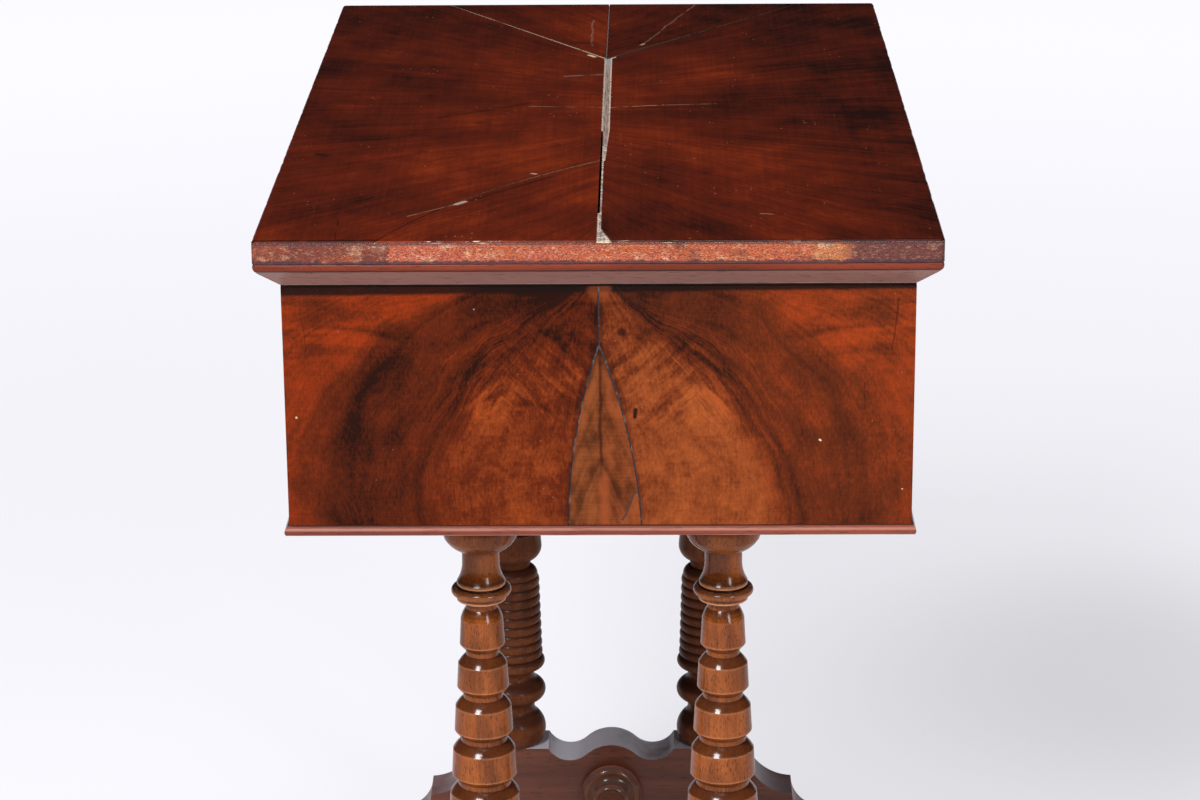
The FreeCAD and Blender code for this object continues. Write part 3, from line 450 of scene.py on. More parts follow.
def smeared(position, least, more):
    """Roughness that handling has left uneven."""
    return least + dust_marks(position)["Smears"] * more


def drawn(colour, marks, plane, look, waver, shown):
    """A colour with marks of (from, to, width, strength, colour's name) drawn on a plane."""
    for start, end, width, strength, kind in marks:
        ends = {"From": (*start, 0), "To": (*end, 0)}
        line = drawn_line(plane, Width=width, Waver=waver, **ends)
        colour = colour.mix(line["Mask"] * shown * strength, getattr(look, kind))
    return colour


def dress(material, *names):
    """Give a finish to the CAD pieces of these names."""
    for name in names:
        piece = PIECES[name]
        piece.data.materials.clear()
        piece.data.materials.append(material)


def named(*starts):
    return [name for name in sorted(NODES) if name.startswith(starts)]


def joined_copy(node):
    """Copy of a CAD piece in which points at one place are one."""
    shape = bmesh.new()
    shape.from_mesh(NODES[node].data)
    bmesh.ops.remove_doubles(shape, verts=shape.verts[:], dist=MERGE)
    return shape


def whole_faces(node):
    """Copy of a CAD piece with its triangles joined into whole faces."""
    shape = joined_copy(node)
    bmesh.ops.dissolve_limit(shape, angle_limit=FLAT_TURN, verts=shape.verts[:], edges=shape.edges[:])
    return shape


def placed(name, data):
    """New object at the origin."""
    thing = bpy.data.objects.new(name, data)
    bpy.context.scene.collection.objects.link(thing)
    return thing


def stand_in(shape, node, body, slot):
    """Finished copy that takes a CAD piece's place; sharp turns and wide square faces stay crisp."""
    mesh = bpy.data.meshes.new(f"finished_{node}")
    shape.to_mesh(mesh)
    shape.free()
    mesh.shade_smooth()
    mesh.set_sharp_from_angle(angle=CRISP_TURN)
    for face in mesh.polygons:
        face.use_smooth = face.area < FLAT_AREA or max(abs(turn) for turn in face.normal) < SQUARE
    piece = placed(f"finished_{node}", mesh)
    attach(piece, body)
    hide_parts(node)
    PIECES[node] = piece


def soften(body, slot, width, *nodes):
    """Stand-ins whose longer outer arrises are rounded."""
    for node in nodes:
        shape = whole_faces(node)
        arrises = [
            edge for edge in shape.edges
            if edge.is_convex and edge.calc_face_angle() > CRISP_TURN and edge.calc_length() > 3 * width
        ]
        bmesh.ops.bevel(
            shape, geom=arrises, offset=width, offset_type="OFFSET", segments=2, profile=0.5,
            affect="EDGES", clamp_overlap=True,
        )
        stand_in(shape, node, body, slot)


def cut_across(shape, axis, places):
    """Cut a shape's faces at each place along an axis."""
    normal = Vector([float(index == axis) for index in range(3)])
    for place in places:
        everything = [*shape.verts, *shape.edges, *shape.faces]
        bmesh.ops.bisect_plane(shape, geom=everything, plane_co=normal * place, plane_no=normal, dist=MERGE)


def rim_rings(half, wear):
    """Places of the cuts that let a corner of the lid be rounded."""
    inner = half - wear.corner
    rings = [inner + wear.corner * part for part in (0, 1 / 3, 2 / 3)]
    return [-ring for ring in rings] + rings


def rim_steps(half, wear):
    """Places of the cuts that let the lid's rim wander."""
    inner = half - wear.corner
    count = round(inner / wear.step)
    return [inner * index / count for index in range(1 - count, count)]


def chip_depth(point, wear):
    """Depth of the chips at a point of the lid's rim, from 0 to 1, most at the photographed end."""
    broken = noise.noise(Vector((point.x * BROKEN_PITCH, point.y * BROKEN_PITCH, 0.3)))
    ragged = noise.noise(Vector((point.x * RAGGED_PITCH, point.y * RAGGED_PITCH, 1.7)))
    at_end = point.x > LID_END - wear.corner
    handled = 1.0 if at_end and HANDLED_LOW < point.y < HANDLED_HIGH else 0.45
    return max(0.0, broken + 0.35 * ragged - 0.12) * handled


def wear_rim(shape, wear, chips, drop):
    """Round the lid's upright corners, and rub and chip the top arris of what shape has there."""
    top = max(vert.co.z for vert in shape.verts)
    for vert in shape.verts:
        inner = Vector((
            max(-LID_END + wear.corner, min(LID_END - wear.corner, vert.co.x)),
            max(-LID_SIDE + wear.corner, min(LID_SIDE - wear.corner, vert.co.y)), vert.co.z,
        ))
        away = vert.co - inner
        reach = max(abs(away.x), abs(away.y))
        if reach < MERGE:
            continue
        inset = 0.0
        on_top = top - vert.co.z < MERGE
        if reach > wear.corner - MERGE and (on_top or chips == 1.0):
            inset = wear.chip * chips * chip_depth(vert.co, wear) + (drop if on_top else 0.0)
            inner.z -= drop if on_top else 0.0
        vert.co = inner + away.normalized() * (reach - min(inset, wear.corner * DEEPEST))


# Lid: dark veneer whose figure fans out from the middle joint
LID_MARKS = (
    ((-0.204, 0.028), (-0.355, 0.071), 0.0011, 0.12, "lip"),
    ((-0.163, -0.0085), (-0.170, -0.0125), 0.0022, 0.9, "lip"),
    ((-0.204, 0.0275), (-0.209, 0.0300), 0.0016, 0.7, "lip"),
    ((-0.298, -0.012), (-0.200, -0.0105), 0.0012, 0.14, "bare"),
    ((-0.002, -0.053), (0.0028, -0.001), 0.0008, 0.2, "lip"),
    ((0.003, 0.0057), (-0.004, 0.0427), 0.0009, 0.5, "lip"),
    ((-0.004, 0.0427), (-0.0073, 0.0817), 0.0007, 0.28, "lip"),
    ((-0.0979, -0.0298), (-0.1032, -0.0030), 0.0026, 0.16, "bare"),
    ((-0.215, -0.026), (-0.212, -0.010), 0.0060, 0.45, "dark"),
    ((0.200, -0.0330), (0.262, -0.0850), 0.0032, 0.5, "dark"),
    ((0.2627, -0.0860), (0.2993, -0.1229), 0.0008, 0.2, "lip"),
    ((0.2640, -0.0880), (0.2700, -0.0930), 0.0030, 0.55, "bare"),
    ((0.1915, -0.0460), (0.1930, -0.0440), 0.0018, 0.7, "bare"),
    ((0.307, -0.167), (0.354, -0.165), 0.0009, 0.7, "dark"),
    ((0.3575, -0.216), (0.3575, -0.140), 0.0035, 0.75, "dark"),
    ((0.3585, 0.040), (0.3585, 0.216), 0.0022, 0.75, "dark"),
    ((0.137, -0.194), (0.141, -0.189), 0.0045, 0.75, "dark"),
    ((0.133, -0.1265), (0.131, -0.1230), 0.0060, 0.45, "dark"),
    ((0.047, -0.0873), (0.050, -0.0830), 0.0080, 0.4, "dark"),
    ((-0.255, -0.170), (-0.248, -0.166), 0.0050, 0.6, "dark"),
    ((0.296, 0.104), (0.299, 0.112), 0.0012, 0.2, "lip"),
    ((-0.02, 0.11), (-0.03, 0.17), 0.0030, 0.6, "dark"),
    ((0.03, -0.115), (-0.01, -0.055), 0.0045, 0.45, "dark"),
)


def on_rim(x, y):
    """1 within a few millimetres of the lid's outer edge."""
    past_end = abs(x) + (OUTER_EDGE - LID_END)
    past_side = abs(y) + (OUTER_EDGE - LID_SIDE)
    return past_end.most(past_side).fade(0.0, 0.001)


def raw_lips(x, y, torn):
    """How much raw wood shows on a veneer's broken edge: by joint inside the lid, by chips on its rim."""
    far, near = x.fade(-0.13, -0.16), x.fade(0.14, 0.17)
    front, back = y.fade(0.002, -0.002), y.fade(-0.002, 0.002)
    joints = (
        far * front * 0.6 + far * back * 0.12 + near * front * x.fade(0.30, 0.24) * 0.3
        + near * back * 0.2 + abs(x).fade(0.16, 0.15) * 0.85
    ) * torn.fade(0.2, 0.5)
    handled = y.fade(HANDLED_LOW, HANDLED_LOW + 0.02) * y.fade(HANDLED_HIGH, HANDLED_HIGH - 0.03)
    chipped = handled.most(y.fade(0.2, 0.21))
    fine = x.tree.join(x * 190, y * 190).noise()
    chips = fine.fade(0.4, 0.6) * (chipped * 0.75 + 0.12)
    rim = on_rim(x, y)
    return rim * chips + (1 - rim) * joints


def paint_lid(tree, position, facing):
    """Figure that fans from behind the joint, drawn marks, and raw wood on the broken edges."""
    look = bpy.context.scene.lid_finish
    x, y = position.split()[:2]
    across = abs(y) + position.noise(7, detail=2) * 0.05 + (look.fan_origin - 0.025)
    angle = tree.math("ARCTAN2", x, across)
    reach = tree.math("SQRT", x * x + across * across)
    side = y.fade(-HALF_JOINT, HALF_JOINT)
    fan = tree.join(reach * 4.5, angle * 15, side * 0.35)
    streaks = fan.noise(detail=6, rough=0.64, twist=1.4)
    fine = fan.noise((3.5, 11, 1), detail=4, rough=0.6)
    clouds = tree.join(x * 9, across * 12, side * 0.6).noise(detail=5, rough=0.6)
    ribs = position.noise((8, 420, 1), detail=1)
    flecks = fan.noise((34, 46, 1), rough=0.65)
    glow = (abs(y) + x * -0.16).fade(0.2, 0.02)
    level = (
        streaks * 0.38 + fine * 0.2 + clouds * 0.8 + (flecks - 0.5) * 0.36 + ribs * 0.1 + glow * 0.13
        + side * -0.06 + x * 0.1 - 0.35 + x.fade(0.12, 0.3) * abs(y).fade(0.16, 0.06) * -0.05
    )
    colour = level.ramp((0.22, look.dark), (0.5, look.middle), (0.82, look.light))
    broken = position.noise(130, detail=2).fade(0.25, 0.5)
    torn = position.noise(46, rough=0.7)
    dust = dust_marks(position, Amount=0.35)
    colour = drawn(colour, LID_MARKS, tree.join(x, y), look, 0.004, broken).over(
        (abs(facing.split()[2]).fade(0.6, 0.4), tree.mix(raw_lips(x, y, torn), look.dark, look.lip)),
        (dust["Specks"], look.lip),
    )
    return colour, 0.16 + dust["Smears"] * 0.26, fine * 0.4 + streaks, 0.0002


def paint_edge(tree, position, facing):
    """Rubbed and speckled edge, the bare core in the opened joint, plain boards underneath."""
    look = bpy.context.scene.edge_finish
    x, y, z = position.split()
    out_x, out_z = facing.split()[::2]
    ends = abs(out_x).fade(0.4, 0.6)
    along = y * ends + x * (1 - ends)
    face = tree.join(along, z, x * 0.2)
    patches = face.noise((30, 60, 3), detail=5, rough=0.65)
    flakes = face.noise((330, 850, 9), detail=5, rough=0.72)
    dashes = face.noise((560, 1500, 11), rough=0.65)
    specks = face.noise((1000, 1400, 13), detail=2, rough=0.6)
    stains = face.noise((62, 120, 5), detail=5, rough=0.62)
    creamy = face.noise((75, 90, 7), detail=4, rough=0.6)
    torn = along + flakes * 0.008
    rusty, dull = torn.fade(-0.1268, -0.1278), torn.fade(0.155, 0.168)
    pale = 0.5 + rusty.most(dull) * -0.2
    high = z + flakes * 0.0012
    low = z + face.noise(260) * 0.004
    plank = wood_grain(position, Streaks=40.0)
    colour = tree.mix(patches.fade(0.4, 0.6), look.worn, look.bright).over(
        (torn.near(0.150, 0.016, 0.006) * 0.75, look.yellow),
        (rusty * patches.fade(0.75, 0.45) * 0.95, look.rusty),
        (dull * 0.92, look.dull),
        (flakes.fade(0.51, 0.68) * pale, look.chip),
        (stains.fade(0.52, 0.7) * 0.7, look.dull),
        (creamy.fade(0.54, 0.7) * 0.5, look.chip),
        (dashes.fade(0.5, 0.6) * 0.68, look.pore),
        (specks.fade(0.52, 0.62) * 0.7, look.pore),
        # dark line under the top arris, and dark band at the foot where the edge meets the moulding: dirt
        # with painted shade
        (high.fade(LID_HIGH.z - 0.0012, LID_HIGH.z - 0.0004) * 0.7, look.grime_and_shade),
        (low.fade(EDGE_BOTTOM + 0.0046, EDGE_BOTTOM + 0.0032) * 0.85, look.grime_and_shade),
        (out_z.fade(0.6, 0.8), opened_joint(tree, position)),
        (out_z.fade(-0.6, -0.8), streaked(plank, look.under, 0.45)),
    )
    return colour, 0.5, patches - specks, 0.0003


def opened_joint(tree, position):
    """Core wood in the opened joint: grey down the middle, cream along both lips, dark past the strip."""
    look = bpy.context.scene.lid_finish
    x, y = position.split()[:2]
    fibres = position.noise((45, 1500, 1), detail=4, rough=0.6)
    crumbs = position.noise(420, rough=0.7)
    board = tree.mix(fibres.fade(0.35, 0.65), *JOINT_GREYS).over(
        (x.fade(-0.10, -0.15), FAR_GREY),
        (y.near(0.0021, 0.0014, 0.0024) * crumbs.fade(0.35, 0.5), look.bare),
        (x.fade(0.09, 0.11) * crumbs.fade(0.48, 0.62) * 0.7, CHALK),
    )
    strip = abs(y).fade(0.0085, 0.0075)
    rim = on_rim(x, y) * crumbs.fade(0.3, 0.5)
    return tree.mix(strip.most(rim), JOINT_DIRT, board.mix(rim, look.lip))


class LidOperator(Operator):
    """Veneer leaves and worn edge of the lid"""
    bl_idname = "work_table.lid"
    bl_label = "Lid veneer and edge"

    def execute(self, context):
        wear = context.scene.wear_settings
        for stem, slot, wanders, chips, drop, levels in (
            ("lid_veneer", "figured_veneer", True, 1.0, wear.arris, ()),
            ("lid_board", "core_wood", True, CORE_CHIPS, wear.arris * CORE_DROP, (LID_HIGH.z - CORE_RUBBED,)),
            ("lid_moulding", "solid_wood", False, 0.0, 0.0, ()),
        ):
            for node in named(stem):
                shape = whole_faces(node)
                for axis, half in enumerate((LID_END, LID_SIDE)):
                    rings = rim_rings(half, wear)
                    cut_across(shape, axis, sorted(rim_steps(half, wear) + rings) if wanders else rings)
                cut_across(shape, 2, levels)
                wear_rim(shape, wear, chips, drop)
                stand_in(shape, node, "lid", slot)
        dress(finish("lid_veneer", paint_lid, specular=0.14), *named("lid_veneer"))
        dress(finish("lid_edge", paint_edge, specular=0.1), *named("lid_board"))
        return {"FINISHED"}


# Mouldings: red-brown, rubbed at the bevel's foot, with a painted highlight along the bead's nose
def paint_bead(axis):
    """Bead with a painted highlight along its nose, a pale line along its foot and dirt along its top, for a
    run along x or y.
    """
    def paint(tree, position, facing):
        look = bpy.context.scene.plain_finish
        run = along_grain(position, axis)
        grain = wood_grain(run)
        patchy = run.noise((40, 300, 300))
        height = (position.split()[2] - BEAD_LOW.z) * (1 / (BEAD_HIGH.z - BEAD_LOW.z))
        colour = streaked(grain, look.bead).over(
            (grain["Pores"] * 0.5, PORE_DIRT),
            # painted highlight along the nose, and a pale line along the foot
            (height.near(0.64, 0.2, 0.05) * patchy.fade(0.15, 0.5) * 0.3, look.rubbed),
            (height.fade(0.14, 0.05) * patchy.fade(0.3, 0.55) * 0.35, look.rubbed),
            (height.fade(0.86, 0.96) * 0.85, BEAD_DIRT),
        )
        return colour, smeared(position, 0.2, 0.25), grain["Fibre"] - grain["Pores"], 0.0001
    return paint


def paint_lid_moulding(axis):
    """Red-brown edge bead over a smooth mauve bevel, with dark lines of dirt and painted shade in the quirks
    beside the bead.
    """
    def paint(tree, position, facing):
        look = bpy.context.scene.plain_finish
        run = along_grain(position, axis)
        grain = wood_grain(run)
        patchy = run.noise((60, 300, 300))
        z = position.split()[2]
        wavy = z + patchy * 0.0006
        foot = z.fade(MOULDING_FOOT + 0.0012, MOULDING_FOOT + 0.0003)
        colour = streaked(grain, look.bevel, 0.8).over(
            (z.fade(EDGE_BOTTOM - 0.0054, EDGE_BOTTOM - 0.0046), streaked(grain, look.edge_bead)),
            (grain["Pores"] * 0.35, PORE_DIRT),
            # dark lines in the quirks beside the bead: dirt with painted shade
            (wavy.near(EDGE_BOTTOM + 0.0003, 0.0009, 0.0003) * 0.85, QUIRK_DIRT_AND_SHADE),
            (wavy.near(EDGE_BOTTOM - 0.0048, 0.0009, 0.0003) * 0.85, QUIRK_DIRT_AND_SHADE),
            (foot * 0.35 * patchy.fade(0.35, 0.55), RUBBED_FOOT),
        )
        rough = smeared(position, 0.26, 0.25) + z.fade(EDGE_BOTTOM - 0.001, EDGE_BOTTOM) * 0.4
        return colour, rough, grain["Fibre"] - grain["Pores"], 0.0001
    return paint


class MouldingOperator(Operator):
    """Bevelled moulding under the lid and bead round the case"""
    bl_idname = "work_table.mouldings"
    bl_label = "Mouldings"

    def execute(self, context):
        gloss = {"coat": 0.35, "coat_rough": 0.05, "specular": 0.1}
        for axis, sides in (("x", ("front", "back")), ("y", ("left", "right"))):
            bevelled = finish(f"lid_moulding_{axis}", paint_lid_moulding(axis), specular=0.12)
            dress(bevelled, *(f"lid_moulding_{side}" for side in sides))
            beaded = finish(f"bottom_bead_{axis}", paint_bead(axis), **gloss)
            dress(beaded, *(f"bottom_bead_{side}" for side in sides))
        return {"FINISHED"}


# Case: veneer with an arched figure, book-matched on the middle joint
# lightness from the joint outward: golden heart, thin dark line, brown, dark band, orange corner
LEFT_LEVELS = (
    (0.0, 0.36), (0.20, 0.43), (0.37, 0.40), (0.445, 0.32), (0.462, 0.17), (0.482, 0.27),
    (0.56, 0.27), (0.63, 0.21), (0.675, 0.16), (0.73, 0.27), (0.81, 0.46), (1.0, 0.48),
)
RIGHT_LEVELS = (
    (0.0, 0.45), (0.20, 0.57), (0.36, 0.55), (0.415, 0.42), (0.432, 0.26), (0.446, 0.42),
    (0.464, 0.24), (0.482, 0.38), (0.60, 0.42), (0.68, 0.36), (0.82, 0.48), (1.0, 0.52),
)
END_MARKS = (
    # in the plane of the photographed end, measured from the joint and from the figure's floor
    ((0.0, 0.157), (0.0, 0.116), 0.0042, 0.4, "band"),
    ((0.0, 0.116), (-0.0130, 0.080), 0.0040, 0.45, "band"),
    ((-0.0130, 0.080), (-0.0175, 0.036), 0.0030, 0.3, "band"),
    ((-0.0175, 0.036), (-0.0206, 0.0), 0.0036, 0.42, "band"),
    ((0.0, 0.116), (0.0150, 0.080), 0.0036, 0.4, "band"),
    ((0.0150, 0.080), (0.0276, 0.0), 0.0030, 0.3, "band"),
    ((0.0234, 0.0738), (0.0228, 0.0688), 0.0019, 0.95, "grime_and_shade"),
    ((0.0140, 0.1253), (0.0150, 0.1247), 0.0034, 0.75, "band"),
    ((0.1905, 0.1480), (0.1870, 0.1130), 0.0008, 0.50, "band"),
    ((0.1700, 0.0910), (0.1698, 0.0730), 0.0007, 0.40, "band"),
    ((-0.1885, 0.1330), (-0.1870, 0.1120), 0.0007, 0.35, "band"),
    ((0.1410, 0.0530), (0.1416, 0.0526), 0.0009, 0.85, "chip"),
    ((0.1750, 0.0650), (0.1753, 0.0651), 0.0006, 0.75, "chip"),
    ((0.1950, 0.0190), (0.1952, 0.0191), 0.0006, 0.70, "chip"),
    ((-0.1940, 0.0690), (-0.1938, 0.0685), 0.0009, 0.70, "chip"),
    ((-0.0790, 0.1410), (-0.0788, 0.1411), 0.0008, 0.40, "chip"),
    ((-0.0380, 0.0530), (-0.0376, 0.0530), 0.0010, 0.40, "streak"),
    ((-0.0035, 0.1530), (0.0040, 0.1530), 0.0062, 0.35, "streak"),
    ((-0.0010, 0.1480), (0.0030, 0.1485), 0.0050, 0.25, "streak"),
)
WEDGE_FORK = (((0.0226, 0.0165), (0.0147, -0.0016), 0.0010, 0.85, "crack"),)


def paint_case(tree, position, across, up):
    """Arched figure; across is measured from the joint, up from the figure's floor."""
    look = bpy.context.scene.case_finish
    mirror = abs(across)
    side = across.fade(-HALF_JOINT, HALF_JOINT)
    plane = tree.join(mirror, up, side * 0.05)
    figure = crotch_figure(plane)
    arch, threads = figure["Reach"], figure["Threads"]
    reach = arch + up.fade(0.085, 0.0) * side * -0.016
    part = reach * (1 / FIGURE_REACH)
    left, right = (
        part.ramp(*((place, (level,) * 3) for place, level in levels))
        for levels in (LEFT_LEVELS, RIGHT_LEVELS)
    )
    clouds = plane.noise((30, 24, 1), detail=6, rough=0.64)
    ribs = position.noise((1, 30, 1300), detail=2)
    shoulder = arch.near(0.11, 0.04, 0.01) * up.fade(0.03, 0.08)
    heart = reach.fade(0.116, 0.085)
    curl = plane.stretch(34, 62, 1).sway(1.0, 1.6).noise(detail=4, rough=0.6)
    corner = mirror.fade(0.10, 0.15) * up.fade(0.085, 0.125)
    flame = plane.stretch(20, 105, 1).sway(0.7, 1.2).noise(detail=4, rough=0.6)
    crown = up.fade(0.07, 0.135) * mirror.fade(0.11, 0.03)
    fold = up + abs(mirror - 0.062) * 0.9
    chevrons = tree.join(fold * 130, mirror * 60, side).sway(0.9, 2.6).noise((1.0, 0.25, 1.0), detail=4)
    folded = up.near(0.095, 0.045, 0.015) * mirror.fade(0.105, 0.07)
    flecks = plane.noise((620, 260, 1), rough=0.65)
    lifted = up.fade(0.09, 0.13) * mirror.near(0.085, 0.05, 0.01) * (1 - side)
    pool = up.fade(0.07, 0.005) * arch.fade(0.145, 0.165) * side * arch.fade(0.19, 0.17)
    level = (
        tree.mix(side, left, right) + figure["Lines"] * 0.4 + threads * 0.1
        + shoulder * (threads - 0.5) * 0.45 + clouds * 0.62 + ribs * 0.1 - 0.6
        + heart * (curl - 0.5) * 0.5 + corner * (flame - 0.47) * 0.8 + crown * -0.2 + pool * -0.1
        + folded * (chevrons - 0.5) * 0.75 + lifted * 0.12 + (flecks - 0.5) * 0.42
    )
    golden = level.ramp((0.1, look.band), (0.36, look.between), (0.74, look.inner))
    orange = level.ramp((0.1, look.band), (0.40, look.between), (0.74, look.corner))
    tint = tree.mix(side, LEFT_TINT, RIGHT_TINT)
    dust = dust_marks(position, Amount=0.08)
    # painted shadow of the lid's overhang along the top of the case, fading across, mixed with dirt
    overhang_shadow = (up + clouds * 0.003 + across * -0.009).fade(0.1520, 0.1545)
    colour = tree.mix(1.0, orange.mix(heart, golden), tint, "MULTIPLY").over(
        (dust["Specks"], look.chip), (overhang_shadow * 0.92, look.grime_and_shade),
    )
    return colour, 0.2 + dust["Smears"] * 0.28, ribs * 0.3 + threads, 0.0002


def paint_end(tree, position, facing):
    """The case's figure across an end, with the marks of the photographed one."""
    x, y, z = position.split()
    up = z - FIGURE_FLOOR
    colour, *rest = paint_case(tree, position, y, up)
    look = bpy.context.scene.case_finish
    return drawn(colour, END_MARKS, tree.join(y, up), look, 0.003, x.fade(0.0, 0.1)), *rest


def paint_front(tree, position, facing):
    """The case's figure, drawn wider along the front and the back."""
    x, y, z = position.split()
    return paint_case(tree, tree.join(y, x, z), x * 0.62, z - FIGURE_FLOOR)


def paint_wedge(tree, position, facing):
    """Wedge let in below the joint: brown left of a dark line, red right of it, a streak at its foot."""
    look = bpy.context.scene.case_finish
    y, z = position.sway(70.0, 0.004).split()[1:]
    up = z - FIGURE_FLOOR
    aside = abs(y - 0.001)
    slope = aside + up * 0.4
    lines = tree.join(slope * 230, up * 20, y).noise(detail=5, rough=0.62)
    mottle = position.noise((1, 120, 70), detail=4, rough=0.6)
    ribs = position.noise((1, 40, 1000), detail=1)
    level = lines * 0.55 + mottle * 0.9 + ribs * 0.2 - 0.35
    wood = tree.mix(y.fade(-0.003, 0.004), look.wedge, look.wedge_red)
    colour = wood.scaled(0.3).mix(level.fade(0.2, 0.72), wood).over(
        (y.near(0.003, 0.005, 0.001) * up.fade(0.034, 0.02) * 0.55, look.streak),
        (aside.fade(0.0016, 0.0004) * up.fade(0.02, 0.045) * 0.65, look.band),
        (slope.near(0.0175, 0.003, 0.0) * up.fade(0.05, 0.03) * 0.4, look.band),
        ((y + up * -0.46).fade(0.0150, 0.0158) * up.fade(0.0165, 0.0155) * 0.4, look.inner),
    )
    colour = drawn(colour, WEDGE_FORK, tree.join(y, up), look, 0.002, 1.0)
    colour = colour.mix(slope.near(0.0455, 0.004, 0.0) * up.fade(0.075, 0.09) * 0.5, look.band)
    return colour, 0.35, lines + ribs * 0.3, 0.0002


class CaseOperator(Operator):
    """Figured veneer of the case, drawer front and fixed front"""
    bl_idname = "work_table.case"
    bl_label = "Case veneer"

    def execute(self, context):
        soft = context.scene.wear_settings.soft
        soften("drawer", "figured_veneer", soft, "drawer_front")
        soften("stand", "figured_veneer", soft, "front_panel", "case_back")
        for name, paint, nodes in (
            ("end_veneer", paint_end, named("end_veneer")),
            ("wedge_veneer", paint_wedge, ["end_veneer_right_wedge"]),
            ("front_veneer", paint_front, ["drawer_front", "front_panel", "case_back"]),
        ):
            dress(finish(name, paint, specular=0.05), *nodes)
        return {"FINISHED"}


# Turned work: columns, stretcher and knobs
def paint_turned(axis, shaded=0.0, dust_and_sheen=0.0, rubbed=0.55):
    """Flecked wood turned round an axis; a shaded piece gets painted shade over its colour and a duller,
    rougher polish.
    """
    def paint(tree, position, facing):
        look = bpy.context.scene.turning_finish
        run = along_grain(position, axis)
        grain = wood_grain(run, Streaks=150.0, Pores=1500.0)
        worn = edge_wear(position, Reach=0.0016, Depth=0.006)
        blotch = run.noise((26, 60, 60))
        flecks = run.noise((330, 1300, 1300), detail=2)
        level = grain["Streaks"] * 0.35 + grain["Fibre"] * 0.3 + blotch * 0.7
        tilts = dict(zip("xyz", facing.split()))
        tilt = tilts["z"] if axis == "z" else abs(tilts[axis])
        colour = tree.mix(level.fade(0.4, 0.95), look.dark, look.light).over(
            (flecks.fade(0.54, 0.68) * 0.6, look.groove),
            # darker where the turnings face up, and a little where they face down: old polish with painted
            # shade
            (tilt.fade(0.22, 0.5) * 0.75 + tilt.fade(-0.3, -0.7) * 0.2, look.polish),
            # hollows darker: dirt with painted shade
            (worn["Hollow"] * 0.85, look.groove),
            (worn["Arris"] * rubbed, look.arris),
        )
        # painted shade over the far pair of columns
        if shaded:
            colour = colour.mix(shaded, look.shaded)
        # grey on upward faces: dust with painted sheen
        if dust_and_sheen:
            colour = colour.mix(tilts["z"].fade(-0.2, 0.8) * dust_and_sheen, bpy.context.scene.plain_finish.dust_and_sheen)
        return colour, smeared(position, 0.17 + 0.25 * shaded, 0.16), grain["Fibre"] - flecks, 0.00006
    return paint


class TurningOperator(Operator):
    """Turned columns, stretcher and knobs"""
    bl_idname = "work_table.turnings"
    bl_label = "Turned work"

    def execute(self, context):
        polish = {"coat": 0.36, "coat_rough": 0.14, "specular": 0.03}
        dull = {"coat": 0.04, "specular": 0.06}
        dress(finish("column_wood", paint_turned("z"), **polish), *named("column_right"))
        # the far pair of columns is painted in shade
        dress(finish("shaded_dull_column_wood", paint_turned("z", 0.55), **dull), *named("column_left"))
        dress(finish("stretcher_wood", paint_turned("x", dust_and_sheen=0.06), **polish), "stretcher")
        dress(finish("knob_wood", paint_turned("y", rubbed=0.1), **polish), *named("drawer_knob"))
        return {"FINISHED"}


# Foot boards, bearers and bottom board
def paint_board(base, axis, soil_and_shade=0.6, dust_and_sheen=0.0):
    """Plain board; one share darkens its hollows with dirt and painted shade, another greys what faces up
    with dust and painted sheen.
    """
    def paint(tree, position, facing):
        grain = wood_grain(along_grain(position, axis), Streaks=45.0)
        worn = edge_wear(position, Reach=0.0025, Depth=0.012)
        smears = dust_marks(position)["Smears"]
        colour = streaked(grain, base).over(
            (grain["Pores"] * 0.5, lit(base, 0.25)),
            (worn["Worn"] * 0.5, lit(base, 2.2)),
            # hollows darker: dirt with painted shade
            (worn["Hollow"] * soil_and_shade, lit(base, 0.2)),
        )
        rough = 0.28 + smears * 0.25
        if dust_and_sheen:
            # grey on what faces up: dust with painted sheen
            swept = abs(position.split()[1]).fade(0.1, 0.15) * -0.75
            dust_and_sheen_share = facing.split()[2].fade(0.3, 0.8) * smears.fade(0.2, 0.5) * (1 + swept)
            colour = colour.mix(dust_and_sheen_share * dust_and_sheen, bpy.context.scene.plain_finish.dust_and_sheen)
            rough = rough + dust_and_sheen_share * 0.3
        return colour, rough, grain["Fibre"] - grain["Pores"], 0.00015
    return paint


class TrestleOperator(Operator):
    """Foot boards, bearers and the board under the case"""
    bl_idname = "work_table.trestles"
    bl_label = "Foot boards and bearers"

    def execute(self, context):
        soft = context.scene.wear_settings.soft
        feet, bearers = named("foot_board"), named("bearer_left", "bearer_right")
        soften("stand", "solid_wood", soft * FOOT_SOFTER, *feet)
        soften("stand", "solid_wood", soft, *bearers)
        foot = context.scene.plain_finish.foot
        boards = finish("foot_wood", paint_board(foot, "y", dust_and_sheen=0.9), coat=0.12, specular=0.25)
        dress(boards, *feet, *bearers)
        dress(finish("bottom_wood", paint_board(foot, "x"), specular=0.3), "bottom_board")
        return {"FINISHED"}


